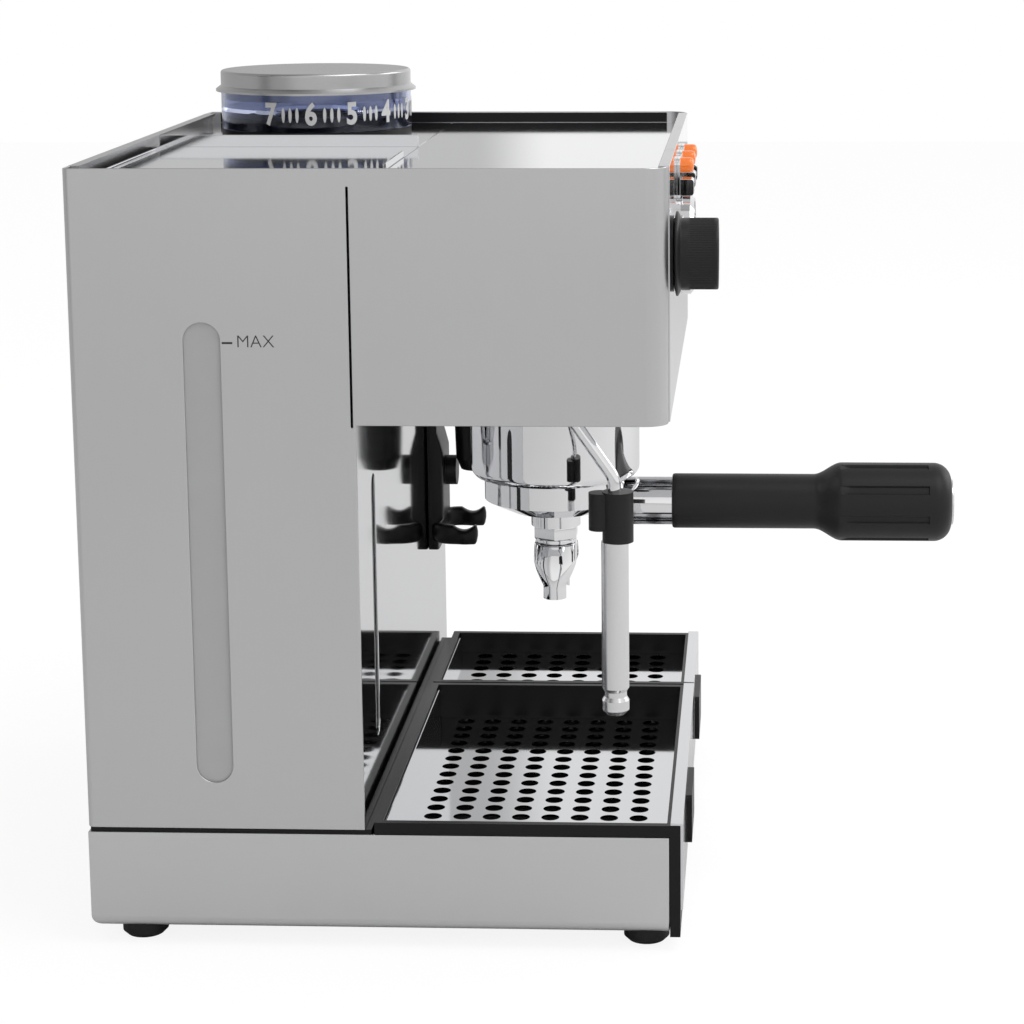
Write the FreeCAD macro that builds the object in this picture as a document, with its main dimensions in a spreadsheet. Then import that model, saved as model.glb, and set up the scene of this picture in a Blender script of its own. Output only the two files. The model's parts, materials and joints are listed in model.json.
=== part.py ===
"""Espresso machine with a built-in grinder, as a parametric document, in millimetres.

+Z is up, the front faces -Y and the user's right is +X. The origin is on the floor, at the middle of the
width and halfway between the screw heads on the back and the tip of the portafilter's handle.
"""
import FreeCAD, Part
import math
import os
import Sketcher

DIMENSIONS = (
    # The casing.
    ("body_width", 320), ("body_depth", 265), ("body_height", 349), ("foot_height", 8), ("foot_diameter", 21),
    ("foot_side_inset", 17), ("foot_front_inset", 11), ("foot_back_inset", 21), ("sheet", 1.2),
    ("base_height", 46), ("base_round", 6), ("deck_gap", 2.2), ("column_depth", 127), ("head_height", 114),
    ("front_round", 10), ("back_round", 3), ("return_flange", 12), ("rail_height", 6), ("rail_width", 5),
    ("relief_width", 1), ("relief_stop", 8), ("panel_proud", 0.6), ("seam", 0.8), ("top_seam", 129.6),
    ("split_offset", 10), ("loose", 0.3), ("running", 0.05), ("screw_diameter", 6), ("screw_height", 2),
    # The water side.
    ("tank_wall", 2.5), ("tank_depth", 104), ("tank_gap", 4), ("window_width", 16.5), ("window_length", 211),
    ("window_back", 59.4), ("window_top", 68), ("front_window_width", 13), ("front_window_length", 125),
    ("front_window_side", 48), ("front_window_top", 146), ("lid_grip_width", 60),
    # The grinder side.
    ("hopper_right", 80), ("hopper_back", 73), ("hopper_diameter", 98.7), ("hopper_wall", 2),
    ("hopper_height", 19), ("hopper_base", 5), ("hopper_lid_height", 10.7), ("lid_lip", 2.6),
    ("throat_radius", 22), ("throat_wall", 2), ("burr_radius", 26), ("burr_height", 10), ("burr_gap", 1),
    ("burr_level", 31), ("shaft_radius", 4), ("motor_radius", 30), ("motor_height", 96),
    ("chute_right", 67), ("chute_front", 26.5), ("chute_radius", 12.5), ("chute_drop", 74), ("duct_radius", 9),
    ("fork_right", 63), ("fork_arm_length", 30), ("fork_arm_height", 12), ("fork_arm_width", 6),
    ("fork_gap", 38), ("fork_drop", 213), ("stem_depth", 9), ("stem_width", 34), ("stem_tail", 5), ("button_radius", 8),
    ("button_proud", 6),
    # The group and the portafilter.
    ("group_side", 119), ("group_back", 59), ("bell_radius", 41), ("bell_drop", 46), ("bell_round", 6),
    ("collar_radius", 36), ("boiler_radius", 39), ("boiler_height", 62), ("boiler_lift", 19),
    ("holder_radius", 34.5), ("lug_radius", 36.2), ("lug_height", 4), ("lug_lift", 3), ("basket_radius", 29),
    ("basket_depth", 24), ("spout_drop", 220), ("spout_half_span", 14), ("neck_radius", 11.7),
    ("handle_drop", 174), ("handle_reach", 134), ("grip_start", 2), ("grip_radius", 13.3),
    ("grip_end_radius", 19), ("grip_flare_start", 64), ("grip_flare_end", 80), ("cap_length", 10),
    ("flute_radius", 3), ("turn_gap", 0.3),
    # The steam side.
    ("wand_side", 45), ("wand_front", 26.2), ("wand_entry", 49), ("wand_radius", 3), ("wand_bend", 12),
    ("wand_bend_drop", 147), ("ball_radius", 7), ("grip_top_drop", 153), ("grip_bottom_drop", 176.5),
    ("sleeve_radius", 6.35), ("sleeve_wall", 1.1), ("tip_drop", 259), ("tip_length", 9),
    ("knob_side", 30), ("knob_drop", 41), ("knob_radius", 16), ("knob_length", 15.3), ("skirt_radius", 19),
    ("skirt_length", 4.4), ("plate_radius", 17), ("plate_thickness", 1.2), ("spindle_radius", 4),
    ("valve_radius", 13), ("valve_length", 62), ("socket_wall", 6), ("socket_flare", 5.2),
    ("socket_lip", 1.2),
    # The gauge and the switches.
    ("gauge_side", 160), ("gauge_drop", 53), ("bezel_radius", 25), ("bezel_proud", 7.5), ("cup_radius", 21),
    ("cup_depth", 14), ("needle_length", 16), ("glass_thickness", 1.2), ("switch_pitch", 35),
    ("switch_drop", 17), ("switch_width", 16), ("switch_height", 20), ("switch_plate", 1.5),
    ("rocker_width", 12), ("rocker_height", 9.6), ("rocker_proud", 8), ("lamp_radius", 4.1),
    # The drip trays.
    ("tray_split_right", 100.5), ("tray_split_gap", 1.8), ("tray_wall", 3.6), ("tray_front_proud", 5),
    ("tray_back", 133.7), ("tray_top", 5.8), ("tray_clearance", 0.5), ("tray_floor", 3),
    ("near_recess", 18), ("far_recess", 11), ("ledge", 3), ("grid_thickness", 1.2), ("hole_diameter", 8.6),
    ("hole_pitch_depth", 14), ("hole_pitch_width", 12.3), ("front_plate", 1.2), ("front_lip", 4.5),
    ("pull_width", 46), ("pull_height", 24), ("pull_proud", 7), ("pull_top", 16), ("tray_drop", 1),
)

HOLES_DEEP = 8
NEAR_HOLES_ACROSS = 17
FAR_HOLES_ACROSS = 7
VENTS = 9
FLUTES = 8


def text_of(item):
    """The expression of a Size, or a plain number as text."""
    return item.text if isinstance(item, Size) else "%.6f" % item


def value_of(item):
    """The number behind a Size, or the plain number itself."""
    return item.value if isinstance(item, Size) else float(item)


class Size:
    """A length that carries both its number and the spreadsheet expression that gives it."""

    def __init__(self, value, text):
        self.value = value
        self.text = text

    def __add__(self, other):
        return Size(self.value + value_of(other), "(%s + %s)" % (self.text, text_of(other)))

    def __radd__(self, other):
        return self + other

    def __sub__(self, other):
        return Size(self.value - value_of(other), "(%s - %s)" % (self.text, text_of(other)))

    def __rsub__(self, other):
        return Size(value_of(other) - self.value, "(%s - %s)" % (text_of(other), self.text))

    def __mul__(self, other):
        return Size(self.value * value_of(other), "(%s * %s)" % (self.text, text_of(other)))

    def __rmul__(self, other):
        return self * other

    def __truediv__(self, other):
        return Size(self.value / value_of(other), "(%s / %s)" % (self.text, text_of(other)))

    def __neg__(self):
        return Size(-self.value, "(0 - %s)" % self.text)


class Names:
    """A plain holder for named sizes and places."""


doc = FreeCAD.newDocument("espresso_machine")
sheet = doc.addObject("Spreadsheet::Sheet", "dims")
d = Names()
for row, (alias, number) in enumerate(DIMENSIONS, start=1):
    sheet.set("A%d" % row, alias)
    sheet.set("B%d" % row, str(number))
    sheet.setAlias("B%d" % row, alias)
    setattr(d, alias, Size(float(number), "dims." + alias))
doc.recompute()

NODES = []
TURNS = {
    "z": FreeCAD.Rotation(),
    "x": FreeCAD.Rotation(FreeCAD.Vector(0, 1, 0), 90),
    "y": FreeCAD.Rotation(FreeCAD.Vector(1, 0, 0), -90),
    "-y": FreeCAD.Rotation(FreeCAD.Vector(1, 0, 0), 90),
    "-z": FreeCAD.Rotation(FreeCAD.Vector(1, 0, 0), 180),
}


# Helpers ------------------------------------------------------------------------------------------------

def bind(thing, path, amount):
    """Tie one property to the sheet, or set it when it is a plain number."""
    if isinstance(amount, Size):
        thing.setExpression(path, amount.text)
    elif "." not in path:
        setattr(thing, path, amount)


def place(thing, start, axis="z"):
    """Put an object's own origin at start, with its own +Z along axis."""
    numbers = [value_of(coordinate) for coordinate in start]
    thing.Placement = FreeCAD.Placement(FreeCAD.Vector(*numbers), TURNS[axis])
    for letter, coordinate in zip("xyz", start):
        bind(thing, "Placement.Base." + letter, coordinate)
    return thing


def box(name, low, high):
    """A block between two opposite corners."""
    solid = doc.addObject("Part::Box", name)
    for side, low_end, high_end in zip(("Length", "Width", "Height"), low, high):
        bind(solid, side, high_end - low_end)
    return place(solid, low)


def rod(name, start, radius, length, axis="z"):
    """A cylinder from start along axis."""
    solid = doc.addObject("Part::Cylinder", name)
    bind(solid, "Radius", radius)
    bind(solid, "Height", length)
    return place(solid, start, axis)


def fuse(name, *solids):
    """One solid out of several that meet."""
    joined = doc.addObject("Part::MultiFuse", name)
    joined.Shapes = list(solids)
    return joined


def group(name, *solids):
    """Several separate solids kept in one object."""
    kept = doc.addObject("Part::Compound", name)
    kept.Links = list(solids)
    return kept


def cut(name, base, *tools):
    """The base with each tool taken away."""
    result = doc.addObject("Part::Cut", name)
    result.Base = base
    result.Tool = tools[0] if len(tools) == 1 else fuse(name + "_tools", *tools)
    return result


def common(name, *solids):
    """What the solids share."""
    shared = doc.addObject("Part::MultiCommon", name)
    shared.Shapes = list(solids)
    return shared


def sketch_in(body, name, plane, outline):
    """A closed outline of straight sides on one of the body's planes, each corner placed by the sheet."""
    sketch = body.newObject("Sketcher::SketchObject", name)
    support = [item for item in body.Origin.OriginFeatures if item.Role == plane][0]
    sketch.AttachmentSupport = (support, [""])
    sketch.MapMode = "FlatFace"
    corners = [FreeCAD.Vector(value_of(across), value_of(up), 0) for across, up in outline]
    count = len(corners)
    for index in range(count):
        sketch.addGeometry(Part.LineSegment(corners[index], corners[(index + 1) % count]), False)
    for index in range(count):
        sketch.addConstraint(Sketcher.Constraint("Coincident", index, 2, (index + 1) % count, 1))
    for index, corner in enumerate(outline):
        for kind, amount in zip(("DistanceX", "DistanceY"), corner):
            row = sketch.addConstraint(Sketcher.Constraint(kind, -1, 1, index, 1, value_of(amount)))
            if isinstance(amount, Size):
                bind(sketch, "Constraints[%d]" % row, amount)
    return sketch


def padded(name, plane, outline, length, start=(0, 0, 0), axis="z"):
    """A body padded from an outline: along +Z from XY, along +X from YZ, along -Y from XZ."""
    body = doc.addObject("PartDesign::Body", name)
    pad = body.newObject("PartDesign::Pad", name + "_pad")
    pad.Profile = sketch_in(body, name + "_outline", plane, outline)
    bind(pad, "Length", length)
    return place(body, start, axis)


def turned(name, outline, start=(0, 0, 0), axis="z"):
    """A body revolved from (radius, height) corners about its own axis."""
    body = doc.addObject("PartDesign::Body", name)
    lathe = body.newObject("PartDesign::Revolution", name + "_turn")
    sketch = sketch_in(body, name + "_outline", "XZ_Plane", outline)
    lathe.Profile = sketch
    lathe.ReferenceAxis = (sketch, ["V_Axis"])
    lathe.Angle = 360
    return place(body, start, axis)


def soften(body, radius, wanted):
    """Fillet the edges of the body's last feature that the test picks."""
    doc.recompute()
    feature = body.Tip
    picked = ["Edge%d" % number for number, edge in enumerate(feature.Shape.Edges, start=1) if wanted(edge)]
    fillet = body.newObject("PartDesign::Fillet", body.Name + "_round")
    fillet.Base = (feature, picked)
    bind(fillet, "Radius", radius)
    body.Tip = fillet
    return body


def along(direction):
    """A test for straight edges that run along one of the body's axes."""
    def wanted(edge):
        if edge.Curve.TypeId != "Part::GeomLine":
            return False
        return abs(edge.Curve.Direction.dot(FreeCAD.Vector(*direction))) > 0.999
    return wanted


def at_height(height, low_radius=0.0, high_radius=1.0e6):
    """A test for round edges at one height of a turned body, between two radii."""
    def wanted(edge):
        if edge.Curve.TypeId != "Part::GeomCircle":
            return False
        return abs(edge.Curve.Center.z - value_of(height)) < 0.01 and low_radius < edge.Curve.Radius < high_radius
    return wanted


def slab(name, low, high, radius, direction="z"):
    """A block whose four edges along one direction are rounded."""
    if direction == "z":
        outline = ((low[0], low[1]), (high[0], low[1]), (high[0], high[1]), (low[0], high[1]))
        body = padded(name, "XY_Plane", outline, high[2] - low[2], (0, 0, low[2]))
        return soften(body, radius, along((0, 0, 1)))
    if direction == "x":
        outline = ((low[1], low[2]), (high[1], low[2]), (high[1], high[2]), (low[1], high[2]))
        body = padded(name, "YZ_Plane", outline, high[0] - low[0], (low[0], 0, 0))
        return soften(body, radius, along((1, 0, 0)))
    outline = ((low[0], low[2]), (high[0], low[2]), (high[0], high[2]), (low[0], high[2]))
    body = padded(name, "XZ_Plane", outline, high[1] - low[1], (0, high[1], 0))
    return soften(body, radius, along((0, 1, 0)))


def node(name, thing):
    """Keep an object as the sub-part of that name."""
    thing.Label = name
    NODES.append(thing)


# Places that several pieces share -----------------------------------------------------------------------

p = Names()
p.side = d.body_width / 2
p.back = (d.body_depth + d.handle_reach - d.screw_height) / 2
p.front = p.back - d.body_depth
p.column = p.back - d.column_depth
p.base_low = d.foot_height
p.base_top = p.base_low + d.base_height
p.deck_top = p.base_top + d.deck_gap
p.top = p.base_low + d.body_height
p.head_low = p.top - d.head_height
p.plate_top = p.top - d.rail_height
p.plate_low = p.plate_top - d.sheet
p.inner_side = p.side - d.sheet
p.inner_back = p.back - d.sheet
p.panel_face = p.front - d.panel_proud
p.panel_inner = p.panel_face + d.sheet
p.split = d.split_offset
p.seam_back = p.front + d.top_seam
p.hopper_x = p.side - d.hopper_right
p.hopper_y = p.back - d.hopper_back
p.hopper_low = p.plate_top + d.hopper_base
p.hopper_rim = p.hopper_low + d.hopper_height
p.burr_low = p.plate_low - d.burr_level
p.group_x = d.group_side - p.side
p.group_y = p.front + d.group_back
p.bell_low = p.head_low - d.bell_drop
p.handle_z = p.top - d.handle_drop
p.chute_x = p.side - d.chute_right
p.chute_y = p.column - d.chute_front
p.fork_x = p.side - d.fork_right
p.fork_top = p.top - d.fork_drop
p.wand_x = d.wand_side - p.side
p.wand_y = p.front + d.wand_front
p.knob_x = d.knob_side - p.side
p.knob_z = p.top - d.knob_drop
p.gauge_x = d.gauge_side - p.side
p.gauge_z = p.top - d.gauge_drop
p.switch_z = p.top - d.switch_drop
p.tray_rim = p.base_top + d.tray_top
p.tray_end = p.front + d.tray_back
p.tray_face = p.front - d.tray_front_proud
p.split_x = p.side - d.tray_split_right
p.tank_high = p.plate_low - d.tank_gap
p.window_y = p.back - d.window_back
p.window_high = p.top - d.window_top
p.front_window_x = d.front_window_side - p.side
p.front_window_high = p.top - d.front_window_top


# The casing ---------------------------------------------------------------------------------------------

def base_shell():
    """The pan under the machine: floor, sides and back, open at the top and at the front for the trays."""
    outline = ((-p.side, p.front), (p.side, p.front), (p.side, p.back), (-p.side, p.back))
    pan = padded("base_blank", "XY_Plane", outline, d.base_height, (0, 0, p.base_low))

    def lower_edge(edge):
        """The bottom edges at the sides and the back, and the two back corners."""
        middle = edge.CenterOfMass
        at_front = abs(middle.y - value_of(p.front)) < 0.01
        return edge.BoundBox.ZMax < 0.01 and not at_front

    soften(pan, d.base_round, lower_edge)
    hollow = box("base_hollow", (-p.inner_side, p.front - 1, p.base_low + d.sheet),
                 (p.inner_side, p.inner_back, p.base_top + 1))
    shaped = doc.addObject("Part::Fillet", "base_hollow_round")
    shaped.Base = hollow
    doc.recompute()
    inner_round = value_of(d.base_round - d.sheet)
    edges = []
    for number, edge in enumerate(hollow.Shape.Edges, start=1):
        middle = edge.CenterOfMass
        low = edge.BoundBox.ZMax < value_of(p.base_low + d.sheet) + 0.01
        if low and middle.y > value_of(p.front):
            edges.append((number, inner_round, inner_round))
    shaped.Edges = edges
    node("base_shell", cut("base_shell", pan, shaped))


def feet():
    """Four rubber feet, turned with a rounded lower rim."""
    rim = d.foot_diameter / 2
    rubber = []
    for side in (-1, 1):
        across = (p.side - d.foot_side_inset) * side
        for deep in (p.front + d.foot_front_inset, p.back - d.foot_back_inset):
            outline = ((0, 0), (rim - 2, 0), (rim, 2), (rim, d.foot_height), (0, d.foot_height))
            rubber.append(turned("foot", outline, (across, deep, 0)))
    node("feet", group("feet", *rubber))


def chassis():
    """The deck that closes the base behind the trays, with its bulkhead and the wall between the two bays."""
    deck = box("deck", (-p.side + d.seam, p.tray_end + 1.5, p.base_top),
               (p.side - d.seam, p.inner_back, p.deck_top))
    bulkhead = box("bulkhead", (-p.inner_side, p.tray_end + 1.5, p.base_low + d.base_round),
                   (p.inner_side, p.tray_end + 3.5, p.base_top))
    wall = box("bay_wall", (p.split - d.sheet, p.column + d.sheet, p.deck_top),
               (p.split, p.inner_back, p.plate_low))
    node("chassis", fuse("chassis", deck, bulkhead, wall))


def side_sheet(name, sign):
    """One side panel: column and head in one sheet, rolled round the front corner and flanged at the back."""
    far = p.side * sign
    bend = far - d.front_round * sign
    outline = ((p.back, p.deck_top), (p.back, p.top), (p.front, p.top), (p.front, p.head_low),
               (p.column, p.head_low), (p.column, p.deck_top))
    reach = d.return_flange
    start = -p.side if sign < 0 else p.side - reach
    body = padded(name + "_blank", "YZ_Plane", outline, reach, (start, 0, 0))

    def outer_edge(depth_place):
        """The upright edge on the outer face, at one depth."""
        def wanted(edge):
            if not along((0, 0, 1))(edge):
                return False
            middle = edge.CenterOfMass
            outer = 0.0 if sign < 0 else value_of(reach)
            return abs(middle.x - outer) < 0.01 and abs(middle.y - value_of(depth_place)) < 0.01
        return wanted

    soften(body, d.front_round, outer_edge(p.front))
    soften(body, d.back_round, outer_edge(p.back))
    inner_low = (p.front + d.sheet, p.deck_top - 1)
    if sign < 0:
        inside = (-p.inner_side, -p.side + reach + 1)
    else:
        inside = (p.side - reach - 1, p.inner_side)
    room_outline = ((p.inner_back, inner_low[1]), (p.inner_back, p.top + 1), (inner_low[0], p.top + 1),
                    (inner_low[0], inner_low[1]))
    room = padded(name + "_room", "YZ_Plane", room_outline, inside[1] - inside[0], (inside[0], 0, 0))

    def room_edge(edge):
        """The two upright edges of the room beside the outer face."""
        if not along((0, 0, 1))(edge):
            return False
        wall_side = 0.0 if sign < 0 else value_of(inside[1] - inside[0])
        at_front = abs(edge.CenterOfMass.y - value_of(inner_low[0])) < 0.01
        return at_front and abs(edge.CenterOfMass.x - wall_side) < 0.01

    soften(room, d.front_round - d.sheet, room_edge)
    trim_ends = (bend, bend + 5) if sign < 0 else (bend - 5, bend)
    wrap_trim = box(name + "_trim", (trim_ends[0], p.front - 1, p.deck_top - 1),
                    (trim_ends[1], p.front + d.sheet + 1, p.top + 1))
    slit_ends = (far - 1, far + 2 * d.sheet) if sign < 0 else (far - 2 * d.sheet, far + 1)
    relief = box(name + "_relief", (slit_ends[0], p.column + d.sheet, p.head_low - 1),
                 (slit_ends[1], p.column + d.sheet + d.relief_width, p.top - d.relief_stop))
    return body, [room, wrap_trim, relief]


def left_side_panel():
    """The user's left panel, with the upright slot over the water tank's window."""
    body, tools = side_sheet("left_side_panel", -1)
    slot = slab("side_slot", (-p.side - 1, p.window_y - d.window_width / 2, p.window_high - d.window_length),
                (-p.inner_side + 1, p.window_y + d.window_width / 2, p.window_high),
                d.window_width / 2 - 0.01, "x")
    node("left_side_panel", cut("left_side_panel", body, slot, *tools))


def right_side_panel():
    """The user's right panel."""
    body, tools = side_sheet("right_side_panel", 1)
    node("right_side_panel", cut("right_side_panel", body, *tools))


def back_panel():
    """The sheet that closes the back between the side panels' flanges and folds forward as the back rail."""
    low = (-p.side + d.return_flange + d.loose, p.inner_back, p.deck_top)
    high = (p.side - d.return_flange - d.loose, p.back, p.top)
    fold = box("back_rail", (low[0], p.back - d.rail_width, p.top - d.sheet), high)
    sheet_metal = fuse("back_blank", box("back_sheet", low, high), fold)
    holes = []
    for row in range(VENTS):
        height = p.deck_top + 110 + 12 * row
        holes.append(slab("vent", (20, p.inner_back - 1, height), (120, p.back + 1, height + 4), 1.9, "y"))
    holes.append(box("socket_hole", (60, p.inner_back - 1, p.deck_top + 20), (88, p.back + 1, p.deck_top + 42)))
    node("back_panel", cut("back_panel", sheet_metal, *holes))


def column_wall():
    """The polished wall under the head, with the slot of the front level window and the grind button's hole."""
    blank = box("wall_blank", (-p.inner_side, p.column, p.deck_top), (p.inner_side, p.column + d.sheet, p.head_low))
    half = d.front_window_width / 2
    slot = slab("front_slot", (p.front_window_x - half, p.column - 1, p.front_window_high - d.front_window_length),
                (p.front_window_x + half, p.column + d.sheet + 1, p.front_window_high), half - 0.01, "y")
    hole = rod("button_hole", (p.fork_x, p.column - 1, p.button_z), d.button_radius - 2 + d.running,
               d.sheet + 2, "y")
    node("column_wall", cut("column_wall", blank, slot, hole))


def head_outline(front, back):
    """The plan of a plate inside the head, clear of the side panels and of their rolled front corners."""
    side = p.inner_side - d.loose
    bend = p.front + d.front_round + d.loose
    corner = p.inner_side - d.front_round + d.sheet - 3 * d.loose
    return ((-side, back), (-side, bend), (-corner, front), (corner, front), (side, bend), (side, back))


def head_underside():
    """The plate that closes the head from below, with holes for the group, the chute and the wand."""
    plate = padded("underside_blank", "XY_Plane", head_outline(p.panel_inner, p.column + d.sheet), d.sheet,
                   (0, 0, p.head_low))
    low = p.head_low - 1
    through = d.sheet + 2
    group_hole = rod("group_hole", (p.group_x, p.group_y, low), d.collar_radius, through)
    chute_hole = rod("chute_hole", (p.chute_x, p.chute_y, low), d.chute_radius, through)
    wand_hole = rod("wand_hole", (p.wand_x, p.ball_y, low), d.ball_radius + d.socket_flare + d.loose, through)
    node("head_underside", cut("head_underside", plate, group_hole, chute_hole, wand_hole))


def front_panel():
    """The upright panel between the rolled corners, folded back over the top as the front rail."""
    edge = p.side - d.front_round - d.seam
    face = box("panel_face", (-edge, p.panel_face, p.head_low + d.loose), (edge, p.panel_inner, p.top))
    rail = box("panel_rail", (-edge, p.panel_face, p.top - d.sheet), (edge, p.panel_face + d.rail_width, p.top))
    deep = d.sheet + 2
    start = p.panel_face - 1
    gauge_hole = rod("gauge_hole", (p.gauge_x, start, p.gauge_z), d.cup_radius, deep, "y")
    knob_hole = rod("knob_hole", (p.knob_x, start, p.knob_z), d.spindle_radius + d.loose, deep, "y")
    windows = []
    for column in (-1, 0, 1):
        across = p.gauge_x + d.switch_pitch * column
        windows.append(box("rocker_window", (across - d.rocker_width / 2, start, p.rocker_low),
                           (across + d.rocker_width / 2, start + deep, p.rocker_high)))
    node("front_panel", cut("front_panel", fuse("panel_fold", face, rail), gauge_hole, knob_hole, *windows))


def cup_plate():
    """The recessed plate over the head that warms cups."""
    plate = padded("cup_plate", "XY_Plane", head_outline(p.panel_inner, p.seam_back), d.sheet, (0, 0, p.plate_low))
    node("cup_plate", plate)


def hopper_deck():
    """The recessed plate round the hopper, with an upstand along the tank's lid."""
    low = p.split + d.loose
    plate = box("deck_plate", (low, p.seam_back + d.loose, p.plate_low), (p.inner_side, p.inner_back, p.plate_top))
    upstand = box("deck_upstand", (low, p.seam_back + d.loose, p.plate_low),
                  (low + d.sheet, p.back - d.rail_width, p.top))
    throat = rod("deck_hole", (p.hopper_x, p.hopper_y, p.plate_low - 1), d.burr_radius + d.running, d.sheet + 2)
    node("hopper_deck", cut("hopper_deck", fuse("deck_fold", plate, upstand), throat))


def level_windows():
    """The two clear strips behind the water-level slots, each on the inner face of its sheet."""
    half = d.window_width / 2 + 3
    side = slab("side_strip", (-p.inner_side, p.window_y - half, p.window_high - d.window_length - 3),
                (-p.inner_side + 1.5, p.window_y + half, p.window_high + 3), half - 0.01, "x")
    wide = d.front_window_width / 2 + 3
    front = slab("front_strip", (p.front_window_x - wide, p.column + d.sheet,
                                 p.front_window_high - d.front_window_length - 3),
                 (p.front_window_x + wide, p.column + d.sheet + 1.5, p.front_window_high + 3), wide - 0.01, "y")
    node("level_windows", group("level_windows", side, front))


def panel_screws():
    """Pan-head screws that hold the back panel, two up each side."""
    heads = []
    for side in (-1, 1):
        for height in (p.deck_top + 30, p.plate_low - 30):
            across = (p.side - d.return_flange - 9) * side
            outline = ((0, 0), (d.screw_diameter / 2, 0), (d.screw_diameter / 2, d.screw_height * 0.4),
                       (d.screw_diameter / 3, d.screw_height), (0, d.screw_height))
            heads.append(turned("screw", outline, (across, p.back, height), "y"))
    node("panel_screws", group("panel_screws", *heads))


# The water and steam side -------------------------------------------------------------------------------

def water_tank():
    """The open tank in the left bay, lifted out from above."""
    low = (-p.inner_side + 2, p.column + d.sheet + 2, p.deck_top + d.loose)
    high = (p.split - d.sheet - 4, p.column + d.sheet + 2 + d.tank_depth, p.tank_high)
    shell = slab("tank_shell", low, high, 8)
    wall = d.tank_wall
    room = slab("tank_room", (low[0] + wall, low[1] + wall, low[2] + wall),
                (high[0] - wall, high[1] - wall, high[2] + 1), 5.5)
    node("water_tank", cut("water_tank", shell, room))


def tank_lid():
    """The recessed lid over the tank, with its hinge barrel at the back and a folded finger lip in front."""
    left = -p.inner_side + d.loose
    right = p.split - d.loose
    hinge = p.back - d.rail_width - 1 - d.sheet
    plate = box("lid_plate", (left, p.seam_back + d.loose, p.plate_low), (right, hinge, p.plate_top))
    barrel = rod("lid_barrel", (left, hinge, p.plate_top), d.sheet, right - left, "x")
    middle = (-p.inner_side + right) / 2
    lip = box("lid_lip", (middle - d.lid_grip_width / 2, p.seam_back + d.loose, p.plate_top),
              (middle + d.lid_grip_width / 2, p.seam_back + d.loose + d.sheet, p.plate_top + 3))
    node("tank_lid", fuse("tank_lid", plate, barrel, lip))


def boiler():
    """The boiler over the group, a drum with a flanged waist."""
    rim = d.boiler_radius
    waist = d.boiler_height / 2
    outline = ((0, 0), (rim - 6, 0), (rim, 6), (rim, waist - 3), (rim + 4, waist - 3), (rim + 4, waist + 3),
               (rim, waist + 3), (rim, d.boiler_height - 6), (rim - 6, d.boiler_height), (0, d.boiler_height))
    node("boiler", turned("boiler", outline, (p.group_x, p.group_y, p.head_low + d.boiler_lift)))


def group_head():
    """The chrome bell under the head: its collar passes the underside plate and meets the boiler."""
    bell = d.bell_radius
    floor = d.boiler_lift + d.bell_drop
    cavity = p.lug_ring_room
    outline = ((d.holder_radius + d.turn_gap, 0), (bell - 2, 0), (bell, 2), (bell, d.bell_drop),
               (d.collar_radius, d.bell_drop), (d.collar_radius, floor), (0, floor),
               (0, cavity), (d.lug_radius + d.turn_gap, cavity), (d.lug_radius + d.turn_gap, d.lug_lift),
               (d.holder_radius + d.turn_gap, d.lug_lift))
    body = turned("bell", outline, (p.group_x, p.group_y, p.bell_low))
    soften(body, d.bell_round - 1, at_height(2, value_of(bell) - 1))
    node("group_head", body)


def group_gasket():
    """The rubber ring in the roof of the bell that the portafilter seals against."""
    outline = ((28, 0), (d.lug_radius, 0), (d.lug_radius, 6), (28, 6))
    node("group_gasket", turned("gasket", outline, (p.group_x, p.group_y, p.gasket_low)))


def shower_screen():
    """The perforated disc under the boiler outlet, with its screw in the middle."""
    outline = ((0, 1), (3, 1), (3, 2.5), (27, 2.5), (27, 6), (0, 6))
    node("shower_screen", turned("screen", outline, (p.group_x, p.group_y, p.gasket_low)))


def pump():
    """The vibratory pump standing on the deck under the grinder's motor."""
    foot = p.deck_top
    centre = (p.split + 55, p.column + 66)
    bracket = box("pump_bracket", (centre[0] - 24, centre[1] - 20, foot), (centre[0] + 24, centre[1] + 20, foot + 3))
    coil = slab("pump_coil", (centre[0] - 22, centre[1] - 18, foot + 3), (centre[0] + 22, centre[1] + 18, foot + 48), 4)
    nozzle = rod("pump_nozzle", (centre[0], centre[1], foot + 48), 8, 22)
    node("pump", fuse("pump", bracket, coil, nozzle))


def solenoid_valve():
    """The three-way valve on the deck beside the pump."""
    foot = p.deck_top
    centre = (p.split + 115, p.column + 66)
    block = box("valve_block", (centre[0] - 13, centre[1] - 13, foot), (centre[0] + 13, centre[1] + 13, foot + 18))
    coil = rod("valve_coil", (centre[0], centre[1], foot + 18), 12, 34)
    node("solenoid_valve", fuse("solenoid_valve", block, coil))


def control_board():
    """The circuit board on the bay wall, with its relay blocks."""
    face = p.split
    board = box("board", (face, p.column + 20, p.deck_top + 60), (face + 1.6, p.column + 100, p.deck_top + 130))
    relays = [box("relay", (face + 1.6, p.column + 28 + 24 * index, p.deck_top + 70),
                  (face + 17, p.column + 44 + 24 * index, p.deck_top + 90)) for index in range(3)]
    node("control_board", fuse("control_board", board, *relays))


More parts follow.
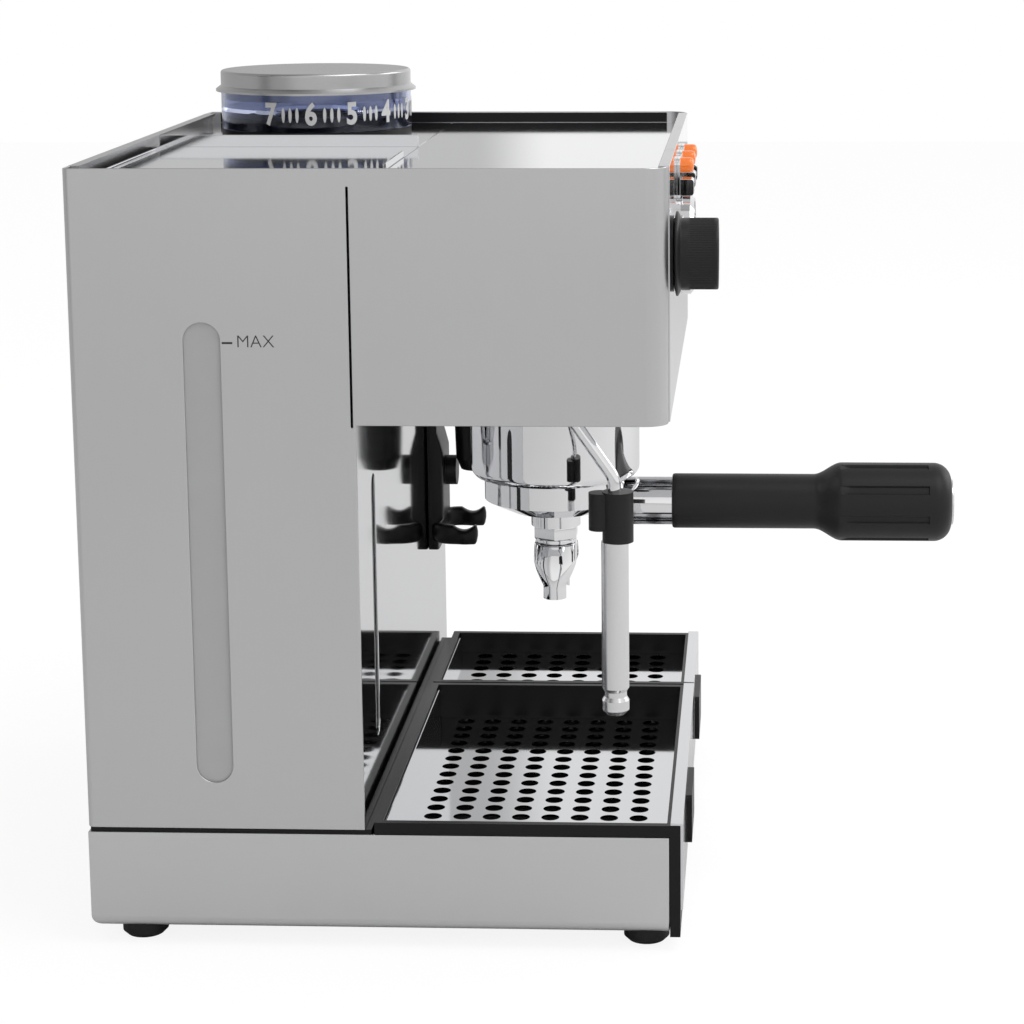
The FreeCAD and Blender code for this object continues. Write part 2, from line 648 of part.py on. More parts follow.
def power_inlet():
    """The appliance inlet set in the back panel, with its three blades."""
    low = (60 + d.loose, p.inner_back - 18, p.deck_top + 20 + d.loose)
    high = (88 - d.loose, p.back, p.deck_top + 42 - d.loose)
    shell = box("inlet_shell", low, high)
    flange = slab("inlet_flange", (54, p.back, p.deck_top + 14), (94, p.back + d.screw_height, p.deck_top + 48),
                  4, "y")
    mouth = slab("inlet_mouth", (63, p.back - 14, p.deck_top + 23), (85, p.back + 3, p.deck_top + 39), 3, "y")
    blades = [box("blade", (across, p.back - 14, height), (across + 1.8, p.back - 3, height + 5))
              for across, height in ((66.5, p.deck_top + 26), (79.7, p.deck_top + 26), (73.1, p.deck_top + 31))]
    node("power_inlet", fuse("power_inlet", cut("inlet_body", fuse("inlet_blank", shell, flange), mouth), *blades))


def steam_valve():
    """The valve behind the knob: its body is clamped to the panel and carries the wand's socket.

    The socket's mouth is a cone about the ball's upright axis, so the sloping wand clears it at every turn.
    """
    start = (p.knob_x, p.panel_inner, p.knob_z)
    body = rod("valve_body", start, d.valve_radius, d.valve_length, "y")
    bore = rod("valve_bore", (p.knob_x, p.panel_inner - 1, p.knob_z), d.spindle_radius + d.running, 31, "y")
    socket_top = p.head_low + d.sheet + 24
    entry = p.ball_y
    socket = rod("valve_socket", (p.wand_x, entry, p.head_low + d.sheet), d.ball_radius + d.socket_wall, 24)
    riser = box("valve_riser", (p.knob_x, entry - 6, socket_top - 6), (p.wand_x + 6, entry + 6, p.knob_z))
    room = doc.addObject("Part::Sphere", "socket_room")
    bind(room, "Radius", d.ball_radius + d.running)
    place(room, (p.wand_x, entry, p.ball_z))
    mouth = doc.addObject("Part::Cone", "socket_mouth")
    bind(mouth, "Radius1", d.ball_radius + d.socket_flare)
    bind(mouth, "Radius2", d.ball_radius - d.socket_lip)
    bind(mouth, "Height", p.ball_z - 2.5 - p.head_low)
    place(mouth, (p.wand_x, entry, p.head_low))
    node("steam_valve", cut("steam_valve", fuse("valve_blank", body, socket, riser), bore, room, mouth))


def steam_spindle():
    """The spindle from the knob into the valve."""
    start = (p.knob_x, p.knob_root - 12, p.knob_z)
    node("steam_spindle", rod("steam_spindle", start, d.spindle_radius, p.panel_inner + 28 - start[1], "y"))


def steam_knob():
    """The round knob, a skirt and a grip, bored for the spindle."""
    skirt = d.skirt_radius
    grip = d.knob_radius
    length = d.skirt_length + d.knob_length
    bore = d.spindle_radius
    outline = ((bore, 0), (skirt, 0), (skirt - 1.5, d.skirt_length), (grip, d.skirt_length),
               (grip, length), (0, length), (0, 12), (bore, 12))
    body = turned("knob", outline, (p.knob_x, p.knob_root, p.knob_z), "-y")
    soften(body, 1.8, at_height(length, 1.0))
    node("steam_knob", body)


def knob_plate():
    """The round plate on the panel behind the knob."""
    outline = ((d.spindle_radius + d.loose, 0), (d.plate_radius, 0), (d.plate_radius, d.plate_thickness),
               (d.spindle_radius + d.loose, d.plate_thickness))
    node("knob_plate", turned("knob_plate", outline, (p.knob_x, p.panel_face, p.knob_z), "-y"))


def wand_route():
    """The wand's centre line: a slope from the ball, one bend and the upright run."""
    x = value_of(p.wand_x)
    ball = FreeCAD.Vector(x, value_of(p.ball_y), value_of(p.ball_z))
    corner = FreeCAD.Vector(x, value_of(p.wand_y), value_of(p.top - d.wand_bend_drop))
    end = FreeCAD.Vector(x, value_of(p.wand_y), value_of(p.top - d.tip_drop) + 6)
    down = (corner - ball).normalize()
    turn = math.acos(down.dot(FreeCAD.Vector(0, 0, -1)))
    tangent = value_of(d.wand_bend) * math.tan(turn / 2)
    first = corner - down * tangent
    last = corner + FreeCAD.Vector(0, 0, -tangent)
    inward = (first + last) * 0.5 - corner
    centre = corner + inward.normalize() * (value_of(d.wand_bend) / math.cos(turn / 2))
    middle = centre - inward.normalize() * value_of(d.wand_bend)
    edges = [Part.LineSegment(ball, first).toShape(), Part.Arc(first, middle, last).toShape(),
             Part.LineSegment(last, end).toShape()]
    return Part.Wire(edges), ball, down


def wand_tube():
    """The bent chrome tube with the ball that it swivels on; a swept path, so set from the sheet's values."""
    route, ball, down = wand_route()
    circle = Part.Wire(Part.Circle(ball, down, value_of(d.wand_radius)).toShape())
    pipe = route.makePipeShell([circle], True, False)
    swivel = Part.makeSphere(value_of(d.ball_radius), ball)
    tube = doc.addObject("Part::Feature", "wand_tube")
    tube.Shape = pipe.fuse(swivel).removeSplitter()
    node("wand_tube", tube)


def wand_grip():
    """The black two-lobed grip on the wand."""
    high = p.top - d.grip_top_drop
    low = p.top - d.grip_bottom_drop
    front = rod("grip_lobe", (p.wand_x, p.wand_y - 1.5, low), 7.2, high - low)
    back = rod("grip_heel", (p.wand_x, p.wand_y + 7, low + 5.5), 5, high - low - 6)
    web = box("grip_web", (p.wand_x - 4.6, p.wand_y - 1, low + 6.5), (p.wand_x + 4.6, p.wand_y + 7, high - 1))
    bore = rod("grip_bore", (p.wand_x, p.wand_y, low - 1), d.wand_radius + d.running, high - low + 2)
    node("wand_grip", cut("wand_grip", fuse("grip_blank", front, back, web), bore))


def wand_sleeve():
    """The frothing sleeve under the grip, necked above its tip."""
    outer = d.sleeve_radius
    inner = d.wand_radius + d.running
    length = d.tip_drop - d.grip_bottom_drop
    cavity = outer - d.sleeve_wall
    outline = ((1, 0), (outer - 2.5, 0), (outer, 2.5), (outer, d.tip_length - 2), (outer - 1.2, d.tip_length),
               (outer - 1.2, d.tip_length + 2), (outer, d.tip_length + 4), (outer, length), (inner, length),
               (inner, length - 8), (cavity, length - 8), (cavity, 4), (1, 4))
    node("wand_sleeve", turned("sleeve", outline, (p.wand_x, p.wand_y, p.top - d.tip_drop)))


# The gauge and the switches -----------------------------------------------------------------------------

def gauge_case():
    """The gauge's chrome bezel and the cup behind the panel, with a bore for the needle's pivot."""
    bezel = d.bezel_radius
    proud = d.bezel_proud
    cup = d.cup_radius
    pivot = 1 + d.running
    outline = ((0, -d.cup_depth), (cup, -d.cup_depth), (cup, 0), (bezel, 0), (bezel, proud - 2),
               (bezel - 2.5, proud), (cup, proud), (cup, 2), (pivot, 2), (pivot, -8), (0, -8))
    node("gauge_case", turned("gauge_case", outline, (p.gauge_x, p.panel_face, p.gauge_z), "-y"))


def gauge_needle():
    """The needle: hub, pivot pin and a tapered pointer that lies towards the lower left at zero."""
    depth = p.panel_face - 2.8
    pin = rod("needle_pin", (p.gauge_x, depth - 0.8, p.gauge_z), 1, 9, "y")
    hub = rod("needle_hub", (p.gauge_x, depth - 1, p.gauge_z), 2.4, 1, "y")
    reach = d.needle_length
    blade = doc.addObject("Part::Wedge", "needle_blade")
    half_root = 1.1
    half_tip = 0.25
    for name, amount in (("Xmin", -half_root), ("X2min", -half_tip), ("Xmax", half_root), ("X2max", half_tip),
                         ("Ymin", 0), ("Zmin", 0), ("Z2min", 0), ("Zmax", 0.7), ("Z2max", 0.7)):
        setattr(blade, name, amount)
    bind(blade, "Ymax", reach)
    place(blade, (p.gauge_x, depth - 0.1, p.gauge_z), "-y")
    lean = FreeCAD.Rotation(FreeCAD.Vector(0, 1, 0), -135)
    blade.Placement = FreeCAD.Placement(blade.Placement.Base, lean.multiply(TURNS["-y"]))
    for letter, coordinate in zip("xyz", (p.gauge_x, depth - 0.1, p.gauge_z)):
        bind(blade, "Placement.Base." + letter, coordinate)
    node("gauge_needle", fuse("gauge_needle", pin, hub, blade))


def gauge_glass():
    """The flat glass over the dial, held in the bezel."""
    start = (p.gauge_x, p.panel_face - d.bezel_proud + 0.6, p.gauge_z)
    node("gauge_glass", rod("gauge_glass", start, d.cup_radius, d.glass_thickness, "y"))


def switch_bezels():
    """Three chrome surrounds on the panel, one round each rocker and its lamp."""
    frames = []
    for column in (-1, 0, 1):
        across = p.gauge_x + d.switch_pitch * column
        plate = slab("bezel_plate", (across - d.switch_width / 2, p.panel_face - d.switch_plate,
                                     p.switch_z - d.switch_height / 2),
                     (across + d.switch_width / 2, p.panel_face, p.switch_z + d.switch_height / 2), 3, "y")
        window = box("bezel_window", (across - d.rocker_width / 2, p.panel_face - d.switch_plate - 1, p.rocker_low),
                     (across + d.rocker_width / 2, p.panel_face + 1, p.rocker_high))
        frames.append(cut("bezel", plate, window))
    node("switch_bezels", group("switch_bezels", *frames))


def lamp_lenses():
    """Three orange lamp domes, each standing over its rocker on the surround."""
    lenses = []
    for column in (-1, 0, 1):
        across = p.gauge_x + d.switch_pitch * column
        base = p.panel_face - d.switch_plate
        rim = d.lamp_radius
        outline = ((0, 0), (rim, 0), (rim, d.rocker_proud - rim), (rim * 0.87, d.rocker_proud - rim / 2),
                   (rim * 0.5, d.rocker_proud - rim * 0.13), (0, d.rocker_proud))
        lenses.append(turned("lamp", outline, (across, base, p.lamp_z), "-y"))
    node("lamp_lenses", group("lamp_lenses", *lenses))


def rocker(name, column):
    """One chrome rocker: a rounded key with the pin that it tips on."""
    across = p.gauge_x + d.switch_pitch * column
    half = d.rocker_width / 2 - d.loose
    key = slab(name + "_key", (across - half, p.panel_face - d.rocker_proud, p.rocker_low + 0.8),
               (across + half, p.panel_inner + 4, p.rocker_high - 0.8), 1.5, "x")
    pin = rod(name + "_pin", (across - half - 1.2, p.rocker_pin, p.rocker_mid), 1, half * 2 + 2.4, "x")
    node(name, fuse(name, key, pin))


def switch_bodies():
    """The three switch housings behind the panel, each with a pocket and bores for its rocker's pin."""
    housings = []
    for column in (-1, 0, 1):
        across = p.gauge_x + d.switch_pitch * column
        half = d.rocker_width / 2
        block = box("switch_block", (across - half - 2, p.panel_inner, p.rocker_low - 1.5),
                    (across + half + 2, p.panel_inner + 20, p.rocker_high + 1.5))
        pocket = box("switch_pocket", (across - half, p.panel_inner - 1, p.rocker_low),
                     (across + half, p.panel_inner + 6, p.rocker_high))
        bore = rod("switch_bore", (across - half - 1.6, p.rocker_pin, p.rocker_mid), 1 + d.running,
                   2 * half + 3.2, "x")
        housings.append(cut("switch_body", block, pocket, bore))
    node("switch_bodies", group("switch_bodies", *housings))


# The grinder --------------------------------------------------------------------------------------------

def bean_hopper():
    """The smoky hopper: an outer skirt over the collar, a sloping floor and a throat down to the upper burr."""
    rim = d.hopper_diameter / 2
    inner = rim - d.hopper_wall
    throat = d.throat_radius
    low = p.burr_top - p.hopper_low
    outline = ((throat, low), (throat + d.throat_wall, low), (throat + d.throat_wall, 7),
               (inner, 9), (inner, 0), (rim, 0), (rim, d.hopper_height), (inner, d.hopper_height),
               (inner, 11), (throat, 9))
    node("bean_hopper", turned("hopper", outline, (p.hopper_x, p.hopper_y, p.hopper_low)))


def hopper_lid():
    """The steel lid with its flared lip, its plug hanging inside the hopper's rim."""
    rim = d.hopper_diameter / 2
    inner = rim - d.hopper_wall - d.loose
    high = d.hopper_lid_height
    outline = ((0, high - 1.5), (inner - 2, high - 1.5), (inner - 2, -4), (inner, -4), (inner, 0),
               (rim + d.lid_lip, 0), (rim + d.lid_lip, 1), (rim, 3), (rim, high), (0, high))
    body = turned("lid", outline, (p.hopper_x, p.hopper_y, p.hopper_rim))
    soften(body, 1.4, at_height(high, 1.0))
    node("hopper_lid", body)


def hopper_collar():
    """The black ring on the deck that the hopper's skirt turns round."""
    inner = d.throat_radius + d.throat_wall + d.running
    outer = d.hopper_diameter / 2 - d.hopper_wall - d.loose
    flange = d.hopper_diameter / 2
    outline = ((inner, 0), (flange, 0), (flange, d.hopper_base - d.loose), (outer, d.hopper_base - d.loose),
               (outer, 11), (inner, 11))
    node("hopper_collar", turned("collar", outline, (p.hopper_x, p.hopper_y, p.plate_top)))


def upper_burr():
    """The ring burr on the end of the hopper's throat."""
    outer = d.burr_radius
    outline = ((19.5 + d.burr_gap, 0), (outer, 0), (outer, d.burr_height), (12.5 + d.burr_gap, d.burr_height))
    node("upper_burr", turned("upper_burr", outline, (p.hopper_x, p.hopper_y, p.burr_low)))


def lower_burr():
    """The cone burr, with the shaft that drives it from the motor."""
    outline = ((0, -30), (d.shaft_radius, -30), (d.shaft_radius, -6), (19.5, -6), (19.5, 0),
               (12.5, d.burr_height), (6, d.burr_height), (6, d.burr_height - 3), (0, d.burr_height - 3))
    node("lower_burr", turned("lower_burr", outline, (p.hopper_x, p.hopper_y, p.burr_low)))


def grinder_housing():
    """The can round the burrs, hung from the deck, with the outlet boss that feeds the chute."""
    inner = d.burr_radius + d.running
    outer = inner + 7
    floor = -14
    high = p.plate_low - p.burr_low
    outline = ((d.shaft_radius + d.running, floor), (outer, floor), (outer, high), (inner, high), (inner, -9),
               (d.shaft_radius + d.running, -9))
    can = turned("can", outline, (p.hopper_x, p.hopper_y, p.burr_low))
    boss = rod("outlet_boss", (p.chute_x, p.duct_start, p.duct_z), d.duct_radius + 2, 28, "y")
    way = rod("outlet_way", (p.chute_x, p.duct_start - 1, p.duct_z), d.duct_radius, 22, "y")
    solid = rod("can_core", (p.hopper_x, p.hopper_y, p.burr_low - 9), inner, 80)
    lower = rod("can_under", (p.hopper_x, p.hopper_y, p.burr_low - 60), outer + 5, 46)
    node("grinder_housing", cut("grinder_housing", fuse("can_and_boss", can, boss), way, solid, lower))


def grinder_motor():
    """The geared motor bolted under the housing, bored for the burr's shaft."""
    top = p.burr_low - 14
    drum = rod("motor_drum", (p.hopper_x, p.hopper_y, top - d.motor_height), d.motor_radius, d.motor_height)
    tail = rod("motor_tail", (p.hopper_x, p.hopper_y, top - d.motor_height - 14), 10, 14)
    bore = rod("motor_bore", (p.hopper_x, p.hopper_y, top - 18), d.shaft_radius + d.running, 20)
    node("grinder_motor", cut("grinder_motor", fuse("motor_blank", drum, tail), bore))


def grind_chute():
    """The black chute: a duct from the grinder and a tapered spout through the head's underside."""
    end = p.head_low - d.chute_drop + 1
    mouth = d.chute_radius
    high = p.duct_z + d.duct_radius + 2 - end
    outside = ((0, 0), (mouth - 3.5, 0), (mouth - 1, 6), (mouth, 40), (mouth, high), (0, high))
    inside = ((0, -1), (mouth - 6, -1), (mouth - 6, 3), (mouth - 3.5, 7), (mouth - 2.5, 40),
              (mouth - 2.5, high - 2.5), (0, high - 2.5))
    spout_shell = turned("chute_outside", outside, (p.chute_x, p.chute_y, end))
    fall = turned("chute_inside", inside, (p.chute_x, p.chute_y, end))
    duct = rod("duct", (p.chute_x, p.chute_y, p.duct_z), d.duct_radius + 2, p.duct_start - p.chute_y, "y")
    way = rod("duct_way", (p.chute_x, p.chute_y, p.duct_z), d.duct_radius, 80, "y")
    node("grind_chute", cut("grind_chute", fuse("chute_blank", spout_shell, duct), way, fall))


def grind_fork():
    """The black stem on the wall with the two arms that carry the portafilter under the chute."""
    low = p.fork_top - d.fork_arm_height
    stem = box("fork_stem", (p.fork_x - d.stem_width / 2, p.column - d.stem_depth, p.fork_top - 6),
               (p.fork_x + d.stem_width / 2, p.column, p.head_low - d.loose))
    slim = box("fork_slim", (p.fork_x - d.stem_width / 2, p.column - d.stem_depth / 2, low - d.stem_tail),
               (p.fork_x + d.stem_width / 2, p.column, p.fork_top))
    cross = box("fork_cross", (p.fork_x - d.fork_gap / 2 - d.fork_arm_width, p.column - d.stem_depth / 2, low),
                (p.fork_x + d.fork_gap / 2 + d.fork_arm_width, p.column, p.fork_top))
    arms = []
    for side in (-1, 1):
        across = p.fork_x + (d.fork_gap / 2 + d.fork_arm_width / 2) * side
        arms.append(box("fork_arm", (across - d.fork_arm_width / 2, p.column - d.fork_arm_length, low),
                        (across + d.fork_arm_width / 2, p.column - 1, p.fork_top)))
    pocket = rod("button_pocket", (p.fork_x, p.column - d.stem_depth - 1, p.button_z), d.button_radius + d.loose,
                 d.stem_depth + 1 - 1.5, "y")
    through = rod("button_way", (p.fork_x, p.column - 3, p.button_z), d.button_radius - 2 + d.running, 4, "y")
    node("grind_fork", cut("grind_fork", fuse("fork_blank", stem, slim, cross, *arms), pocket, through))


def grind_button():
    """The button between the arms that the portafilter presses to start the grinder."""
    face = p.column - d.stem_depth - d.button_proud
    cap = rod("button_cap", (p.fork_x, face, p.button_z), d.button_radius, d.button_proud + 2.5, "y")
    stem = rod("button_stem", (p.fork_x, face + 4, p.button_z), d.button_radius - 2,
               p.column + d.sheet + 2 - face - 4, "y")
    node("grind_button", fuse("grind_button", cap, stem))


# The portafilter ----------------------------------------------------------------------------------------

def portafilter():
    """The filter holder: a deep ring with two lugs, a funnel with its nut, and the neck for the handle."""
    rim = d.holder_radius
    bore = d.basket_radius + d.loose
    high = p.rim_top - p.bell_low
    outline = ((3, -26), (12, -26), (12, -20), (22, -18), (rim, -12), (rim, high), (bore, high), (bore, -9),
               (18, -15), (3, -18))
    bowl = turned("bowl", outline, (p.group_x, p.group_y, p.bell_low))
    lug_low = p.bell_low + d.lug_lift + d.turn_gap
    ring = turned("lug_ring", ((rim - 1, 0), (d.lug_radius, 0), (d.lug_radius, d.lug_height),
                               (rim - 1, d.lug_height)), (p.group_x, p.group_y, lug_low))
    bar = box("lug_bar", (p.group_x - 50, p.group_y - 12, lug_low - 1),
              (p.group_x + 50, p.group_y + 12, lug_low + d.lug_height + 1))
    lugs = common("lugs", ring, bar)
    start = p.group_y - rim + 4
    neck = rod("neck", (p.group_x, start, p.handle_z), d.neck_radius, start - p.grip_root, "-y")
    tang = rod("tang", (p.group_x, p.grip_root, p.handle_z), 6, 40, "-y")
    room = rod("bowl_room", (p.group_x, p.group_y, p.bell_low - 9), bore, 40)
    node("portafilter", cut("portafilter", fuse("holder_blank", bowl, lugs, neck, tang), room))


def filter_basket():
    """The steel basket hanging in the holder by its rim."""
    outer = d.basket_radius
    deep = d.basket_depth - 9
    outline = ((0, -deep), (outer - 3, -deep), (outer - 0.5, -deep + 3), (outer - 0.5, 0), (outer + 4, 0),
               (outer + 4, 0.8), (outer - 1.3, 0.8), (outer - 1.3, -deep + 3.4), (outer - 3.4, -deep + 0.8),
               (0, -deep + 0.8))
    node("filter_basket", turned("basket", outline, (p.group_x, p.group_y, p.rim_top)))


def spout():
    """The double spout under the funnel: a hexagon boss and two open channels that curve apart."""
    high = p.bell_low - 26
    tip = p.top - d.spout_drop
    boss = doc.addObject("Part::Prism", "spout_boss")
    boss.Polygon = 6
    boss.Circumradius = 12
    boss.Height = 9
    place(boss, (p.group_x, p.group_y, high - 9))
    span = d.spout_half_span
    outline = ((-span - 4, tip), (-span + 4, tip), (-span + 4, tip + 14), (-4, high - 12), (4, high - 12),
               (span - 4, tip + 14), (span - 4, tip), (span + 4, tip), (span + 4, tip + 18), (8, high - 7),
               (-8, high - 7), (-span - 4, tip + 18))
    wings = padded("spout_wings", "XZ_Plane", outline, 13, (p.group_x, p.group_y + 6.5, 0))
    channels = []
    for side in (-1, 1):
        across = p.group_x + span * side
        low_x, high_x = (across - 5, across + 2) if side < 0 else (across - 2, across + 5)
        channels.append(box("channel", (low_x, p.group_y - 5, tip - 1), (high_x, p.group_y + 5, tip + 16)))
    way = rod("spout_way", (p.group_x, p.group_y, high - 9.5), 3, 12)
    node("spout", cut("spout", fuse("spout_blank", boss, wings), way, *channels))


def handle_grip():
    """The black handle: a straight shank that flares to a fluted end."""
    start = d.grip_radius
    end = d.grip_end_radius
    length = p.grip_length - d.cap_length
    steps = 6
    flare = []
    for index in range(steps + 1):
        share = index / steps
        blend = (1 - math.cos(math.pi * share)) / 2
        flare.append((start + (end - start) * blend,
                      d.grip_flare_start + (d.grip_flare_end - d.grip_flare_start) * share))
    outline = [(6, 0), (start - 0.8, 0), (start, 0.8)] + flare + [(end, length), (6, length)]
    shank = turned("shank", outline, (p.group_x, p.grip_root, p.handle_z), "-y")
    flutes = []
    for index in range(FLUTES):
        angle = 2 * math.pi * (index + 0.5) / FLUTES
        across = p.group_x + (end + 1.6) * math.cos(angle)
        height = p.handle_z + (end + 1.6) * math.sin(angle)
        flutes.append(rod("flute", (across, p.grip_root - d.grip_flare_end - 1, height), d.flute_radius,
                          length - d.grip_flare_end - 2, "-y"))
    plug = rod("tang_plug", (p.group_x, p.grip_root - 40, p.handle_z), 6, length - 40, "-y")
    node("handle_grip", fuse("handle_grip", cut("shank_fluted", shank, *flutes), plug))


def handle_cap():
    """The end cap of the handle."""
    end = d.grip_end_radius
    outline = ((0, 0), (end, 0), (end, d.cap_length), (0, d.cap_length))
    body = turned("handle_cap", outline, (p.group_x, p.front - d.handle_reach + d.cap_length, p.handle_z), "-y")
    soften(body, 6, at_height(d.cap_length, 1.0))
    node("handle_cap", body)


# The drip trays -----------------------------------------------------------------------------------------

def tray(name, left, right, recess, mate):
    """One drip tray: a rim over the base's side, a basin with a ledge, a front wall and a finger pull.

    mate is +1 where the base's wall is on the right and -1 where it is on the left.
    """
    inner_left = left + (p.base_clear if mate < 0 else 0)
    inner_right = right - (p.base_clear if mate > 0 else 0)
    low = p.base_low + d.sheet + d.tray_clearance
    shelf = p.tray_rim - recess - d.grid_thickness
    rim = box(name + "_rim", (left, p.tray_face, p.base_top + d.loose), (right, p.tray_end, p.tray_rim))
    basin = slab(name + "_basin", (inner_left, p.tray_face, low), (inner_right, p.tray_end, p.tray_rim - 1),
                 d.base_round - d.sheet, "y")
    face = box(name + "_face", (left, p.tray_face, p.base_low - d.tray_drop), (right, p.front - d.loose, p.tray_rim))
    wall = d.tray_wall
    upper = box(name + "_upper", (left + wall, p.front + 1, shelf), (right - wall, p.tray_end - wall, p.tray_rim + 1))
    step = wall + d.ledge
    lower = slab(name + "_lower", (left + step, p.front + 1 + d.ledge, low + d.tray_floor),
                 (right - step, p.tray_end - step, p.tray_rim + 1), 4)
    middle = (left + right) / 2
    pull = slab(name + "_pull", (middle - d.pull_width / 2, p.tray_face - d.front_plate - d.pull_proud + 5,
                                 p.tray_rim - d.pull_top - d.pull_height),
                (middle + d.pull_width / 2, p.tray_face + 1, p.tray_rim - d.pull_top), 2.4, "y")
    node(name, cut(name, fuse(name + "_blank", rim, basin, face, pull), upper, lower))


def tray_front(name, left, right):
    """The steel face on a tray's front, lipped over the rim and cut out round the pull."""
    low = p.base_low + 12
    face = box(name + "_face", (left, p.tray_face - d.front_plate, low), (right, p.tray_face, p.tray_rim + 1))
    lip = box(name + "_lip", (left, p.tray_face - d.front_plate, p.tray_rim),
              (right, p.tray_face + d.front_lip, p.tray_rim + 1))
    middle = (left + right) / 2
    window = box(name + "_window", (middle - d.pull_width / 2 - d.loose, p.tray_face - 5,
                                    p.tray_rim - d.pull_top - d.pull_height - d.loose),
                 (middle + d.pull_width / 2 + d.loose, p.tray_face + 1, p.tray_rim - d.pull_top + d.loose))
    node(name, cut(name, fuse(name + "_fold", face, lip), window))


def grid(name, left, right, recess, across_count):
    """One perforated grid, lying on its tray's ledge."""
    wall = d.tray_wall + d.loose
    top = p.tray_rim - recess
    low = (left + wall, p.front + 1 + d.loose, top - d.grid_thickness)
    high = (right - wall, p.tray_end - wall, top)
    plate = box(name + "_plate", low, high)
    middle = ((low[0] + high[0]) / 2, (low[1] + high[1]) / 2)
    holes = []
    for row in range(HOLES_DEEP):
        deep = middle[1] + d.hole_pitch_depth * (row - (HOLES_DEEP - 1) / 2)
        for column in range(across_count):
            across = middle[0] + d.hole_pitch_width * (column - (across_count - 1) / 2)
            holes.append(rod("hole", (across, deep, low[2] - 1), d.hole_diameter / 2, d.grid_thickness + 2))
    result = doc.addObject("Part::Cut", name)
    result.Base = plate
    result.Tool = group(name + "_holes", *holes)
    node(name, result)


# Places worked out from the sizes above -----------------------------------------------------------------

p.lug_ring_room = d.lug_lift + d.lug_height + 2 * d.turn_gap + 8
p.gasket_low = p.bell_low + p.lug_ring_room - 6
p.rim_top = p.gasket_low - d.turn_gap - 0.8
p.button_z = p.fork_top + 24
p.rocker_low = p.switch_z - d.switch_height / 2 + 1.2
p.rocker_high = p.rocker_low + d.rocker_height
p.rocker_mid = (p.rocker_low + p.rocker_high) / 2
p.rocker_pin = p.panel_inner + 1.5
p.lamp_z = p.switch_z + d.switch_height / 2 - 0.6 - d.lamp_radius
p.ball_z = p.head_low + d.sheet + 10
p.ball_y = p.wand_y + (d.wand_entry - d.wand_front) * ((p.ball_z - (p.top - d.wand_bend_drop))
                                                       / (d.wand_bend_drop - d.head_height))
p.knob_root = p.panel_face - d.plate_thickness - d.loose
p.burr_top = p.burr_low + d.burr_height
p.duct_start = p.hopper_y - 36
p.duct_z = p.burr_low - 2
p.grip_root = p.front + d.grip_start
p.grip_length = d.handle_reach + d.grip_start
p.base_clear = d.sheet + d.tray_clearance


def build_all():
    """Every sub-part, in the order of the sections above."""
    base_shell()
    feet()
    chassis()
    left_side_panel()
    right_side_panel()
    back_panel()
    column_wall()
    head_underside()
    front_panel()
    cup_plate()
    hopper_deck()
    level_windows()
    panel_screws()
    water_tank()
    tank_lid()
    boiler()
    group_head()
    group_gasket()
    shower_screen()
    pump()
    solenoid_valve()
    control_board()
    power_inlet()
    steam_valve()
    steam_spindle()
    steam_knob()
    knob_plate()
    wand_tube()
    wand_grip()
    wand_sleeve()
    gauge_case()
    gauge_needle()
    gauge_glass()
    switch_bezels()
    switch_bodies()
    lamp_lenses()
    rocker("power_rocker", -1)
    rocker("brew_rocker", 0)
    rocker("steam_rocker", 1)
    bean_hopper()
    hopper_lid()
    hopper_collar()
    upper_burr()
    lower_burr()
    grinder_housing()
    grinder_motor()
    grind_chute()
    grind_fork()
    grind_button()
    portafilter()
    filter_basket()
    spout()
    handle_grip()
    handle_cap()
    half_gap = d.tray_split_gap / 2
    tray("near_tray", -p.side, p.split_x - half_gap, d.near_recess, -1)
    tray("far_tray", p.split_x + half_gap, p.side, d.far_recess, 1)
    tray_front("near_tray_front", -p.side, p.split_x - half_gap)
    tray_front("far_tray_front", p.split_x + half_gap, p.side)
    grid("near_grid", -p.side, p.split_x - half_gap, d.near_recess, NEAR_HOLES_ACROSS)
    grid("far_grid", p.split_x + half_gap, p.side, d.far_recess, FAR_HOLES_ACROSS)


def check_all():
    """Stop before anything is written if a feature failed or a sub-part's shape is broken."""
    for thing in doc.Objects:
        if "Invalid" in thing.State or "Error" in thing.State:
            raise RuntimeError("failed object: " + thing.Name)
    for thing in NODES:
        if thing.Shape.isNull() or not thing.Shape.isValid() or not thing.Shape.Solids:
            raise RuntimeError("broken sub-part: " + thing.Label)


build_all()
doc.recompute()
check_all()
os.makedirs("parts", exist_ok=True)
for thing in NODES:
    thing.Shape.exportStep("parts/%s.step" % thing.Label)
print("%d sub-parts written" % len(NODES))
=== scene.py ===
import json
import math

import bmesh
import bpy
import numpy as np
from bpy.props import FloatProperty, FloatVectorProperty, IntProperty, PointerProperty
from mathutils import Matrix, Vector

